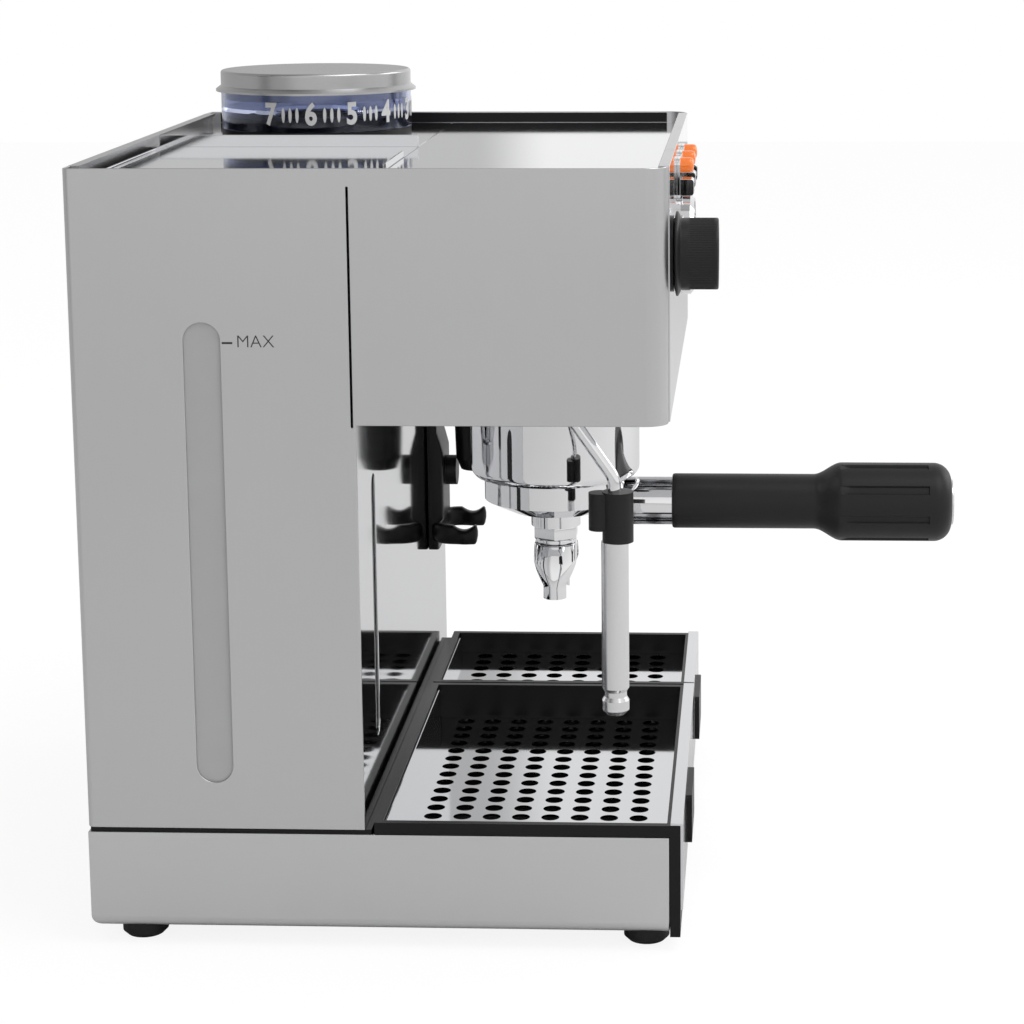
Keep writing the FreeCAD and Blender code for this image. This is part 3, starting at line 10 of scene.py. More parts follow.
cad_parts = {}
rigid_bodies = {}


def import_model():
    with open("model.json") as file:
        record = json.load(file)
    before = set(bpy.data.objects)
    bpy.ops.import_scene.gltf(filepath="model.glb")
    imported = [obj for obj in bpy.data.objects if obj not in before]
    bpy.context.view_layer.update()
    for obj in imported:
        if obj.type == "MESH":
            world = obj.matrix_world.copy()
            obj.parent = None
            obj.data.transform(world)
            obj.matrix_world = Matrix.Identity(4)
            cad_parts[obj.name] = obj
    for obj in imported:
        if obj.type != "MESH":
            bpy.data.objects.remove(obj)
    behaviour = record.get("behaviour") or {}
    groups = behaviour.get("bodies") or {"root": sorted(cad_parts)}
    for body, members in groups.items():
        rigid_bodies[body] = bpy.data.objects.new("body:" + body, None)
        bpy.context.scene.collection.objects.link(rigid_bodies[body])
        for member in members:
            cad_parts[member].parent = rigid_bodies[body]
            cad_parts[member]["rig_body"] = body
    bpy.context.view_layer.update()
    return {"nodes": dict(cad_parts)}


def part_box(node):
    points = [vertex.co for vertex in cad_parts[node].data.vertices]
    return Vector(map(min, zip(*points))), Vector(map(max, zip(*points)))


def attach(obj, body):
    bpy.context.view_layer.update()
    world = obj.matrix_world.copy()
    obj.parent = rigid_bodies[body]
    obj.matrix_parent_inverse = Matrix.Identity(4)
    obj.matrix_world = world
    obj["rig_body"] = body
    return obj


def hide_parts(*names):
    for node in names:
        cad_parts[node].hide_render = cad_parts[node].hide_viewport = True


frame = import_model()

bl_info = {
    "name": "Espresso machine looks",
    "version": (1, 0, 0),
    "blender": (4, 5, 0),
    "location": "View3D > Sidebar > Espresso",
    "description": "Dresses the packed espresso machine with its finishes and its finer pieces",
    "category": "Object",
}

MM = 0.001
NODES = frame["nodes"]


# Places read from the frame ------------------------------------------------------------------------------

def low(node):
    """Lowest corner of a CAD node."""
    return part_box(node)[0]


def high(node):
    """Highest corner of a CAD node."""
    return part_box(node)[1]


def middle(node):
    """Centre of a CAD node's box."""
    lowest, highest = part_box(node)
    return (lowest + highest) / 2


def body_of(node):
    """Name of the body that a CAD node rides on."""
    return NODES[node]["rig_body"]


# Sizes and colours a user may change -----------------------------------------------------------------------

def length_of(name, description, millimetres):
    """A length property in millimetres, shown in the scene's units."""
    return FloatProperty(name=name, description=description, default=millimetres * MM, min=0.0, unit="LENGTH")


def colour_of(name, description, *values):
    """A colour property."""
    return FloatVectorProperty(name=name, description=description, subtype="COLOR", size=3, min=0.0, max=1.0,
                               default=values)


class EspressoSizes(bpy.types.PropertyGroup):
    """Sizes of the finer pieces."""

    sheet_edge: length_of("Sheet edge", "Rounding of the sheet metal's edges", 0.35)
    plastic_edge: length_of("Plastic edge", "Rounding of the moulded edges", 0.5)
    groove_depth: length_of("Groove depth", "Depth of the grooves in the grip", 1.0)
    groove_width: length_of("Groove width", "Width of a groove in the grip", 4.2)
    groove_count: IntProperty(name="Grooves", description="Grooves round the grip", default=8, min=3, max=16)
    rib_depth: length_of("Rib depth", "Depth of the fine ribs round the steam knob", 0.22)
    rib_count: IntProperty(name="Ribs", description="Fine ribs round the steam knob", default=90, min=12, max=160)
    number_height: length_of("Number height", "Height of the numbers round the hopper", 10.6)
    number_pitch: FloatProperty(name="Number pitch", description="Angle between two numbers",
                                default=math.radians(24.6), unit="ROTATION")
    tick_height: length_of("Tick height", "Height of the ticks between the numbers", 7.6)
    mark_height: length_of("Mark height", "Height of the letters beside the level window", 5.6)


class EspressoColours(bpy.types.PropertyGroup):
    """Colours of the finishes."""

    satin: colour_of("Side steel", "Steel of the sides, base and back", 0.56, 0.56, 0.565)
    mirror: colour_of("Polished steel", "Mirror steel of the top, front and grids", 0.66, 0.665, 0.68)
    chrome: colour_of("Chrome", "Plated brass of the group, holder and switches", 0.78, 0.78, 0.79)
    plastic: colour_of("Black plastic", "Trays, chute and fork", 0.008, 0.008, 0.009)
    grip: colour_of("Grip plastic", "Handle, knob and wand grip", 0.015, 0.015, 0.0155)
    smoke: colour_of("Smoked plastic", "Bean hopper", 0.5, 0.55, 0.74)
    lamp: colour_of("Lamp", "Lamp lenses on the switches", 1.0, 0.22, 0.02)
    paint: colour_of("Number paint", "Numbers and ticks round the hopper", 0.6, 0.6, 0.6)


# Shader maths ------------------------------------------------------------------------------------------------

class Value:
    """A shader socket that takes + - * / and comparisons like a number, adding Math nodes as it goes."""

    def __init__(self, finish, socket):
        self.finish = finish
        self.socket = socket

    def maths(self, operation, first, second=0.0):
        made = self.finish.node("ShaderNodeMath", {"operation": operation}, {0: first, 1: second})
        return Value(self.finish, made.outputs[0])

    def __add__(self, other):
        return self.maths("ADD", self, other)

    __radd__ = __add__

    def __sub__(self, other):
        return self.maths("SUBTRACT", self, other)

    def __rsub__(self, other):
        return self.maths("SUBTRACT", other, self)

    def __mul__(self, other):
        return self.maths("MULTIPLY", self, other)

    __rmul__ = __mul__

    def __truediv__(self, other):
        return self.maths("DIVIDE", self, other)

    def __pow__(self, other):
        return self.maths("POWER", self, other)

    def over(self, other):
        return self.maths("GREATER_THAN", self, other)

    def ramp(self, start, end, bottom=0.0, top=1.0):
        """Bottom below start, top above end, smooth between."""
        made = self.finish.node("ShaderNodeMapRange", {"interpolation_type": "SMOOTHSTEP"},
                                {0: self, 1: start, 2: end, 3: bottom, 4: top})
        return Value(self.finish, made.outputs[0])


class Finish:
    """One material or the world while its nodes are being made."""

    def __init__(self, tree):
        self.tree = tree

    @classmethod
    def named(cls, name):
        """A new material with a Principled shader."""
        material = bpy.data.materials.new(name)
        material.use_nodes = True
        made = cls(material.node_tree)
        made.material = material
        made.shader = material.node_tree.nodes["Principled BSDF"]
        return made

    def node(self, kind, settings=None, sockets=None):
        """A node of that kind: its settings first, with a ramp's stops among them, then its sockets."""
        made = self.tree.nodes.new(kind)
        for key, value in (settings or {}).items():
            if key == "stops":
                while len(made.color_ramp.elements) < len(value):
                    made.color_ramp.elements.new(0.5)
                for element, (position, colour) in zip(made.color_ramp.elements, value):
                    element.position = position
                    element.color = (*colour, 1.0)
            else:
                setattr(made, key, value)
        for key, value in (sockets or {}).items():
            self.join(made.inputs[key], value)
        return made

    def join(self, socket, value):
        """Link a value to a socket, or set the socket's own number."""
        if isinstance(value, Value):
            self.tree.links.new(value.socket, socket)
        elif isinstance(value, bpy.types.NodeSocket):
            self.tree.links.new(value, socket)
        else:
            socket.default_value = value

    def set(self, **sockets):
        """Set or link the shader's sockets, named with _ for a space."""
        for key, value in sockets.items():
            if isinstance(value, tuple) and len(value) == 3:
                value = (*value, 1.0)
            self.join(self.shader.inputs[key.replace("_", " ")], value)
        return self

    def place(self, stretch=(1, 1, 1), turn=(0, 0, 0)):
        """Object coordinates, stretched and turned."""
        made = self.node("ShaderNodeMapping", {}, {
            "Vector": self.node("ShaderNodeTexCoord").outputs["Object"], "Scale": stretch, "Rotation": turn})
        return made.outputs[0]

    def noise(self, scale, detail=3.0, rough=0.5, stretch=(1, 1, 1), turn=(0, 0, 0)):
        """Noise about 0.5, scale in waves a metre."""
        made = self.node("ShaderNodeTexNoise", {}, {
            "Vector": self.place(stretch, turn), "Scale": scale, "Detail": detail, "Roughness": rough})
        return Value(self, made.outputs[0])

    def between(self, factor, first, second):
        """A colour between two colours."""
        made = self.node("ShaderNodeMix", {"data_type": "RGBA"}, {"Factor": factor})
        self.join(made.inputs[6], (*first, 1.0) if isinstance(first, tuple) else first)
        self.join(made.inputs[7], (*second, 1.0) if isinstance(second, tuple) else second)
        return made.outputs[2]

    def bump(self, height, strength, distance):
        """A Bump node's normal."""
        return self.node("ShaderNodeBump", {}, {"Height": height, "Strength": strength,
                                                "Distance": distance}).outputs[0]


def scaled(colour, factor):
    """A colour made lighter or darker."""
    return tuple(min(1.0, channel * factor) for channel in colour)


# Finishes ----------------------------------------------------------------------------------------------------

def rolled_steel(name, colour, rough, swing, grain=(1, 1, 0.012), waves=2600, spread=0.05):
    """Sheet steel: long fine grain lines in roughness and bump, broad cloudy tone and faint wipe marks."""
    made = Finish.named(name)
    lines = made.noise(waves, 2.0, 0.6, grain)
    clouds = made.noise(7.0, 4.0, 0.55)
    wipes = made.noise(38.0, 5.0, 0.6, (1, 1, 0.35)).ramp(0.52, 0.74)
    tone = clouds * 0.7 + lines * 0.3
    made.set(Base_Color=made.between(tone, scaled(colour, 1 - spread), scaled(colour, 1 + spread)), Metallic=1.0,
             Roughness=rough + lines * swing - swing * 0.5 + wipes * swing * 0.6,
             Normal=made.bump(lines, 0.05, 0.00002))
    return made.material


def plated(name, colour, rough):
    """Plated metal: nearly clean mirror with faint water spots and haze."""
    made = Finish.named(name)
    haze = made.noise(26.0, 4.0, 0.6)
    spots = made.noise(420.0, 2.0, 0.5).ramp(0.66, 0.74)
    made.set(Base_Color=made.between(haze, scaled(colour, 0.95), scaled(colour, 1.04)), Metallic=1.0,
             Roughness=haze * rough * 0.8 + rough * 0.6 + spots * 0.04,
             Normal=made.bump(made.noise(60.0, 2.0), 0.02, 0.0001))
    return made.material


def moulded(name, colour, rough, stipple=1500.0, depth=0.00004, level=0.3):
    """Moulded plastic or rubber: a fine spark-eroded stipple, slow tone and a little shine on rubbed places."""
    made = Finish.named(name)
    grain = made.noise(stipple, 3.0, 0.6)
    slow = made.noise(18.0, 4.0, 0.55)
    rubbed = made.noise(9.0, 5.0, 0.6).ramp(0.5, 0.8)
    made.set(Base_Color=made.between(slow, scaled(colour, 0.8), scaled(colour, 1.25)),
             Roughness=rough + grain * 0.12 - rubbed * 0.07 - 0.05, Specular_IOR_Level=level,
             Normal=made.bump(grain, 0.25, depth))
    return made.material


def smoked(name, colour):
    """Smoked clear plastic with faint haze and flow marks."""
    made = Finish.named(name)
    flow = made.noise(30.0, 4.0, 0.6, (1, 1, 0.4))
    made.set(Base_Color=made.between(flow, scaled(colour, 0.92), scaled(colour, 1.08)), Roughness=flow * 0.06 + 0.01,
             Transmission_Weight=1.0, IOR=1.46)
    return made.material


def frosted(name, colour, rough, transmission):
    """Milky plastic that lets some light through."""
    made = Finish.named(name)
    cloud = made.noise(40.0, 4.0, 0.6)
    made.set(Base_Color=made.between(cloud, scaled(colour, 0.95), scaled(colour, 1.05)),
             Roughness=cloud * 0.1 + rough, Transmission_Weight=transmission, IOR=1.45)
    return made.material


def glowing(name, colour):
    """Orange lamp lens with a soft inner glow."""
    made = Finish.named(name)
    cells = made.noise(900.0, 2.0, 0.5)
    made.set(Base_Color=made.between(cells, scaled(colour, 0.8), scaled(colour, 1.0)), Roughness=cells * 0.1 + 0.1,
             Emission_Color=made.between(cells, scaled(colour, 0.7), colour), Emission_Strength=0.12,
             Coat_Weight=0.6)
    return made.material


def painted(name, colour, rough=0.45):
    """Pad-printed paint with a slightly uneven edge tone."""
    made = Finish.named(name)
    uneven = made.noise(700.0, 3.0, 0.6)
    made.set(Base_Color=made.between(uneven, scaled(colour, 0.9), scaled(colour, 1.08)), Roughness=uneven * 0.15 + rough,
             Normal=made.bump(uneven, 0.1, 0.00002))
    return made.material


def board_green(name):
    """Green circuit board with lighter copper tracks under the lacquer."""
    made = Finish.named(name)
    tracks = made.node("ShaderNodeTexBrick", {"offset": 0.5}, {
        "Vector": made.place((1, 1, 1), (0, math.radians(90), 0)), "Scale": 160.0, "Mortar Size": 0.03})
    mask = Value(made, tracks.outputs["Fac"])
    made.set(Base_Color=made.between(mask, (0.01, 0.09, 0.035), (0.04, 0.22, 0.09)), Roughness=mask * 0.15 + 0.3)
    return made.material


def finish(name):
    """The finish of that name, made the first time it is asked for."""
    found = bpy.data.materials.get("finish_" + name)
    if found:
        return found
    colours = bpy.context.scene.espresso_colours
    full = "finish_" + name
    recipes = {
        "panel_steel": lambda: rolled_steel(full, tuple(colours.satin), 0.3, 0.06),
        "base_steel": lambda: rolled_steel(full, scaled(tuple(colours.satin), 1.08), 0.3, 0.06, (1, 0.012, 1)),
        "polished_steel": lambda: rolled_steel(full, tuple(colours.mirror), 0.06, 0.03, (1, 1, 1), 1800, 0.03),
        "lid_steel": lambda: rolled_steel(full, scaled(tuple(colours.satin), 0.86), 0.26, 0.06, (1, 0.02, 1)),
        "chrome": lambda: plated(full, tuple(colours.chrome), 0.035),
        "satin_metal": lambda: rolled_steel(full, scaled(tuple(colours.satin), 1.25), 0.24, 0.06, (1, 1, 0.05)),
        "black_plastic": lambda: moulded(full, tuple(colours.plastic), 0.32, level=0.18),
        "black_grip": lambda: moulded(full, tuple(colours.grip), 0.4, 1800.0, 0.00003, 0.22),
        "rubber": lambda: moulded(full, scaled(tuple(colours.plastic), 1.2), 0.6, 900.0, 0.00006, 0.3),
        "smoky_plastic": lambda: smoked(full, tuple(colours.smoke)),
        "clear_plastic": lambda: frosted(full, (0.93, 0.94, 0.95), 0.02, 0.95),
        "window": lambda: frosted(full, (0.5, 0.5, 0.505), 0.3, 0.15),
        # Painted shade: near-black plastic for the column's window strip, where the tank behind lies in shade.
        "window_dark": lambda: moulded(full, tuple(colours.plastic), 0.2),
        "tank": lambda: frosted(full, (0.82, 0.86, 0.9), 0.15, 0.8),
        "lamp_orange": lambda: glowing(full, tuple(colours.lamp)),
        "brass": lambda: rolled_steel(full, (0.75, 0.5, 0.2), 0.26, 0.08, (1, 1, 1), 700),
        "aluminium": lambda: rolled_steel(full, (0.66, 0.67, 0.68), 0.38, 0.1, (1, 1, 1), 1200),
        "circuit_green": lambda: board_green(full),
        "needle_black": lambda: painted(full, (0.015, 0.015, 0.016)),
        "number_paint": lambda: painted(full, tuple(colours.paint)),
        "mark_paint": lambda: painted(full, (0.02, 0.02, 0.022)),
        "dial": lambda: painted(full, (0.82, 0.82, 0.8), 0.35),
        "dial_green": lambda: painted(full, (0.03, 0.3, 0.08), 0.4),
    }
    return recipes[name]()


# Surfaces ----------------------------------------------------------------------------------------------------

def grid_faces(rows, columns, close_rows=False, close_columns=True):
    """Quads of a grid of points numbered row by row: corner (i, j) joins (i, j + 1), (i + 1, j + 1), (i + 1, j)."""
    i, j = np.meshgrid(np.arange(rows - (not close_rows)), np.arange(columns - (not close_columns)), indexing="ij")
    down, right = (i + 1) % rows, (j + 1) % columns
    return np.stack([i * columns + j, i * columns + right, down * columns + right, down * columns + j],
                    -1).reshape(-1, 4)


def rounded(corners, steps=6):
    """Corners (a, b, reach): each is replaced by the curve (1-s)^2 P + 2 s (1-s) B + s^2 Q, where P and Q lie at
    reach from the corner B along its two sides. Reach 0 keeps a corner, and ends of an open line use it."""
    points = np.array([corner[:2] for corner in corners], float)
    reach = np.array([corner[2] if len(corner) > 2 else 0.0 for corner in corners])
    before, after = np.roll(points, 1, 0) - points, np.roll(points, -1, 0) - points
    long_before, long_after = np.linalg.norm(before, axis=1), np.linalg.norm(after, axis=1)
    reach = np.minimum(reach, 0.49 * np.minimum(long_before, long_after))[:, None]
    start = points + before / np.maximum(long_before, 1e-12)[:, None] * reach
    end = points + after / np.maximum(long_after, 1e-12)[:, None] * reach
    s = np.linspace(0, 1, steps)[None, :, None]
    curve = (1 - s) ** 2 * start[:, None] + 2 * s * (1 - s) * points[:, None] + s ** 2 * end[:, None]
    curve = curve.reshape(-1, 2)
    apart = np.linalg.norm(np.diff(curve, axis=0, prepend=curve[:1] + 1.0), axis=1) > 1e-8
    return curve[apart]


def frame_of(along):
    """Two unit vectors square to along and to each other."""
    along = np.array(along, float) / np.linalg.norm(along)
    side = np.cross(along, (0.0, 0.0, 1.0) if abs(along[2]) < 0.9 else (1.0, 0.0, 0.0))
    side /= np.linalg.norm(side)
    return along, side, np.cross(along, side)


def spun(profile, centre, along=(0, 0, 1), turns=96, change=None):
    """Points of a turned surface: profile point (r, h) at angle t is centre + h along + r (cos t side + sin t up).
    change(r, h, t) may give another r for each place. Returns points by rows of one profile point each."""
    along, side, up = frame_of(along)
    t = np.arange(turns) / turns * 2 * np.pi if np.isscalar(turns) else np.asarray(turns, float)
    r, h = profile[:, 0][:, None] + 0 * t, profile[:, 1][:, None] + 0 * t
    if change is not None:
        r = change(r, h, t[None, :] + 0 * r)
    ring = np.cos(t)[None, :, None] * side + np.sin(t)[None, :, None] * up
    return (np.array(centre, float) + h[..., None] * along + r[..., None] * ring).reshape(-1, 3)


def new_piece(name, points, faces, body, finish_name, slot=None, instead=(), merge=True, sharp=35.0, outward=True):
    """Put points and faces into a mesh object, close its seams and poles, face it outwards and dress it."""
    mesh = bpy.data.meshes.new(name)
    mesh.from_pydata(np.asarray(points, float).tolist(), [], np.asarray(faces).tolist() if not isinstance(
        faces, list) else faces)
    tidy(mesh, merge, outward)
    piece = bpy.data.objects.new(name, mesh)
    bpy.context.scene.collection.objects.link(piece)
    return dressed(piece, body, finish_name, instead, sharp)


def tidy(mesh, merge=True, outward=True, dissolve=False):
    """Merge doubled points, drop empty faces and turn the faces outwards."""
    work = bmesh.new()
    work.from_mesh(mesh)
    if merge:
        bmesh.ops.remove_doubles(work, verts=work.verts, dist=1e-6)
        bmesh.ops.dissolve_degenerate(work, edges=work.edges, dist=1e-7)
    if dissolve:
        bmesh.ops.dissolve_limit(work, angle_limit=math.radians(0.4), verts=work.verts, edges=work.edges)
    if outward:
        bmesh.ops.recalc_face_normals(work, faces=work.faces)
    work.to_mesh(mesh)
    work.free()
    mesh.update()


def dressed(piece, body, finish_name, instead=(), sharp=35.0):
    """Smooth shading up to the sharp angle, the finish, the body it rides on and what it stands for."""
    piece.data.materials.clear()
    piece.data.materials.append(finish(finish_name))
    piece.data.polygons.foreach_set("material_index", np.zeros(len(piece.data.polygons), np.int32))
    piece.data.shade_smooth()
    piece.data.set_sharp_from_angle(angle=math.radians(sharp))
    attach(piece, body)
    if instead:
        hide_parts(*instead)
    return piece


def softened(node, name, finish_name, edge, segments=2, sharp=30.0):
    """A merged copy of a CAD node whose sharp edges are rounded by a Bevel of that width."""
    mesh = NODES[node].data.copy()
    mesh.name = name
    tidy(mesh, True, False, True)
    piece = bpy.data.objects.new(name, mesh)
    bpy.context.scene.collection.objects.link(piece)
    dressed(piece, body_of(node), finish_name, (node,), 60.0)
    bevel = piece.modifiers.new("edge", "BEVEL")
    bevel.width = edge
    bevel.segments = segments
    bevel.limit_method = "ANGLE"
    bevel.angle_limit = math.radians(sharp)
    bevel.miter_outer = "MITER_ARC"
    weighted = piece.modifiers.new("flat faces", "WEIGHTED_NORMAL")
    weighted.keep_sharp = True
    weighted.weight = 100
    return piece


def shade_faces(piece, finish_name, wanted):
    """Give the faces that the test picks another finish."""
    piece.data.materials.append(finish(finish_name))
    for face in piece.data.polygons:
        if wanted(face):
            face.material_index = len(piece.data.materials) - 1


def block(lowest, highest):
    """Points and faces of a thin straight strip between two corners."""
    x, y, z = zip(lowest, highest)
    points = np.array([[x[i], y[j], z[k]] for k in (0, 1) for i, j in ((0, 0), (1, 0), (1, 1), (0, 1))])
    return points, [[3, 2, 1, 0], [4, 5, 6, 7], [0, 1, 5, 4], [1, 2, 6, 5], [2, 3, 7, 6], [3, 0, 4, 7]]


def swept(path, sides, ups, wides, deeps, power=4.0, around=28):
    """A rounded bar along a path: at angle t the section is side wide c(t) + up deep s(t), where
    c = sign(cos t) |cos t|^(2 / power) and s likewise from sin t. The ends are closed with a face each."""
    t = np.arange(around) / around * 2 * np.pi
    c = np.sign(np.cos(t)) * np.abs(np.cos(t)) ** (2 / power)
    s = np.sign(np.sin(t)) * np.abs(np.sin(t)) ** (2 / power)
    path, sides, ups = (np.asarray(rows, float)[:, None, :] for rows in (path, sides, ups))
    wides, deeps = np.asarray(wides)[:, None, None], np.asarray(deeps)[:, None, None]
    points = path + sides * wides * c[None, :, None] + ups * deeps * s[None, :, None]
    count = len(path)
    faces = grid_faces(count, around).tolist()
    faces += [list(range(around)), list(range((count - 1) * around, count * around))]
    return points.reshape(-1, 3), faces


def dress_node(node, finish_name):
    """Give a CAD node that keeps its own shape its finish."""
    mesh = NODES[node].data
    if mesh.materials:
        for place in range(len(mesh.materials)):
            mesh.materials[place] = finish(finish_name)
    else:
        mesh.materials.append(finish(finish_name))


def lettering(text, height, thick, bold=0.0, narrow=1.0):
    """Flat solid letters about the origin in the X-Y plane, as points and faces."""
    curve = bpy.data.curves.new("letters", "FONT")
    curve.body = text
    curve.align_x, curve.align_y = "CENTER", "CENTER"
    curve.size = height / 0.7
    curve.offset = bold
    curve.extrude = thick / 2
    curve.resolution_u = 4
    carrier = bpy.data.objects.new("letters", curve)
    bpy.context.scene.collection.objects.link(carrier)
    bpy.context.view_layer.update()
    mesh = bpy.data.meshes.new_from_object(carrier.evaluated_get(bpy.context.evaluated_depsgraph_get()))
    points = np.zeros(len(mesh.vertices) * 3)
    mesh.vertices.foreach_get("co", points)
    faces = [list(polygon.vertices) for polygon in mesh.polygons]
    bpy.data.objects.remove(carrier)
    bpy.data.curves.remove(curve)
    points = points.reshape(-1, 3) * (narrow, 1, 1)
    bpy.data.meshes.remove(mesh)
    return points, faces


def joined(parts):
    """Several (points, faces) as one."""
    points, faces, count = [], [], 0
    for some_points, some_faces in parts:
        points.append(np.asarray(some_points, float))
        faces += [[corner + count for corner in face] for face in
                  (some_faces if isinstance(some_faces, list) else some_faces.tolist())]
        count += len(some_points)
    return np.concatenate(points), faces


# Casing ------------------------------------------------------------------------------------------------------

def make_casing():
    """The sheet metal with softened edges, the chassis and the back's small parts."""
    edge = bpy.context.scene.espresso_sizes.sheet_edge
    for node in ("left_side_panel", "right_side_panel", "back_panel"):
        softened(node, node + "_sheet", "panel_steel", edge)
    softened("base_shell", "base_sheet", "base_steel", edge)
    for node in ("column_wall", "head_underside", "front_panel", "cup_plate", "hopper_deck"):
        piece = softened(node, node + "_sheet", "polished_steel", edge * 0.8)
        if node == "front_panel":
            shade_faces(piece, "lid_steel", lambda face: face.normal.z > 0.9 and face.center.z > high(
                "front_panel").z - 0.0005)
    # Painted shade: a thin near-black plastic strip on the inner face of the far side panel's rail stands for the shade
    # on that face.
    rail_panel_low, rail_panel_high = low("right_side_panel"), high("right_side_panel")
    inner = rail_panel_high.x - 0.0013
    strip = block((inner - 0.0004, rail_panel_low.y + 0.011, high("cup_plate").z + 0.0002),
                  (inner, rail_panel_high.y - 0.006, rail_panel_high.z - 0.0006))
    new_piece("rail_painted_shade", *strip, "machine", "black_plastic", "black_plastic")
    softened("tank_lid", "tank_lid_sheet", "polished_steel", edge * 0.8)
    for node, name in (("chassis", "black_plastic"), ("panel_screws", "chrome"), ("power_inlet", "black_plastic"),
                       ("feet", "rubber"), ("water_tank", "tank")):
        dress_node(node, name)


def make_windows():
    """The side window is pale; the strip in the column, in front of the tank's dark side, is near black."""
    piece = softened("level_windows", "level_strips", "window", 0.0003)
    # The column strip's near-black finish is painted shade for the dark seen through the slot.
    piece.data.materials.append(finish("window_dark"))
    line = middle("column_wall").y + 0.02
    for face in piece.data.polygons:
        face.material_index = int(face.center.y < line)


def make_level_mark():
    """The dash and the word beside the level window, printed on the side panel."""
    height = bpy.context.scene.espresso_sizes.mark_height
    face = low("left_side_panel").x
    top = high("left_side_panel").z
    back = high("left_side_panel").y
    points, faces = lettering("MAX", height, 0.00005, -0.00012)
    word = np.stack([points[:, 2] * 0 + face - 0.00006 + points[:, 2], -points[:, 0], points[:, 1]], -1)
    word += (0.0, back - 0.0834, top - 0.0766)
    dash = np.array([[0, 0, 0], [0, -0.0047, 0], [0, -0.0047, 0.0009], [0, 0, 0.0009]])
    dash = np.concatenate([dash, dash + (0.00005, 0, 0)]) + (face - 0.00008, back - 0.0685, top - 0.0775)
    sides = [[0, 1, 2, 3], [7, 6, 5, 4], [0, 4, 5, 1], [1, 5, 6, 2], [2, 6, 7, 3], [3, 7, 4, 0]]
    points, faces = joined([(word, faces), (dash, sides)])
    new_piece("level_mark", points, faces, "machine", "mark_paint")


# Hopper ------------------------------------------------------------------------------------------------------

def make_hopper():
    """The smoked bowl, its steel lid, its collar and the numbers and ticks printed round it."""
    dress_node("bean_hopper", "smoky_plastic")
    dress_node("hopper_lid", "lid_steel")
    for node in ("hopper_collar", "grinder_housing", "grind_chute"):
        dress_node(node, "black_plastic")
    dress_node("grinder_motor", "aluminium")
    for node in ("upper_burr", "lower_burr"):
        dress_node(node, "chrome")
    dress_node("grind_button", "black_grip")


def make_fork():
    """The fork: a stem that thickens downwards round the button and a U of two dished arms on the wall.

    Along each arm, with u from the wall to the tip, the top dips by 0.0034 sin(pi u) and the tip is rounded.
    """
    lowest, highest = low("grind_fork"), high("grind_fork")
    centre, wall = (lowest.x + highest.x) / 2, highest.y - 0.0001
    arm_low = middle("grind_button").z - 0.036
    arm_high = arm_low + 0.012
    wide = (highest.x - lowest.x) / 2 - 0.003
    reach = wall - lowest.y - 0.002
    bend = np.linspace(np.pi, 0, 25)
    straight = np.linspace(0, 1, 22)
    back = wall - 0.0045
    radius = 0.010
    path, around_wall = [], 0.0
    left = np.stack([0 * straight + centre - wide, back - radius - (reach - 0.0045 - radius) * straight[::-1]], -1)
    corner_left = np.stack([centre - wide + radius + radius * np.cos(np.linspace(np.pi, np.pi / 2, 10)),
                            back - radius + radius * np.sin(np.linspace(np.pi, np.pi / 2, 10))], -1)
    plan = np.concatenate([left, corner_left[1:]])
    mirror = plan[::-1] * (-1, 1) + (2 * centre, 0)
    plan = np.concatenate([plan, mirror])
    u = np.clip((back - radius - plan[:, 1]) / (reach - 0.0045 - radius), 0, 1)
    dip = 0.0034 * np.sin(np.pi * u) + 0.0016 * (1 - u)
    tips = np.minimum(1.0, np.sqrt(np.clip(1 - (np.clip(u - 0.86, 0, 1) / 0.145) ** 2, 0.02, 1)))
    top = arm_high - dip
    mid, half = (top + arm_low) / 2, (top - arm_low) / 2 * tips
    points = np.concatenate([plan, mid[:, None]], 1)
    ahead = np.gradient(plan, axis=0)
    ahead /= np.linalg.norm(ahead, axis=1)[:, None]
    sides = np.stack([-ahead[:, 1], ahead[:, 0], 0 * u], -1)
    ups = np.tile([0.0, 0.0, 1.0], (len(plan), 1))
    thick = (0.0030 + 0.0016 * np.sin(np.pi * np.clip(u, 0, 1)) ** 2) * tips
    arms = swept(points, sides, ups, thick, half, 3.2)
    z = np.concatenate([[arm_low - 0.005, arm_low - 0.0045], np.linspace(arm_low - 0.003, arm_high + 0.006, 8),
                        np.linspace(arm_high + 0.010, arm_high + 0.036, 8),
                        np.linspace(arm_high + 0.042, highest.z - 0.0001, 12)])
    grow = np.clip((z - arm_high - 0.036) / 0.012, 0, 1)
    depth = 0.0045 - 0.0016 * grow * grow * (3 - 2 * grow)
    depth = np.where(z < arm_high - 0.001, 0.0030, depth)
    half_wide = np.where(z < arm_low - 0.001, 0.0150, 0.0168)
    path = np.stack([0 * z + centre, wall - depth, z], -1)
    stem = swept(path, np.tile([1.0, 0.0, 0.0], (len(z), 1)), np.tile([0.0, 1.0, 0.0], (len(z), 1)), half_wide,
                 depth, 8.0, 36)
    new_piece("fork_arms", *arms, "machine", "black_plastic", "black_plastic", sharp=50.0)
    new_piece("fork_stem", *stem, "machine", "black_plastic", "black_plastic", ("grind_fork",), sharp=40.0)


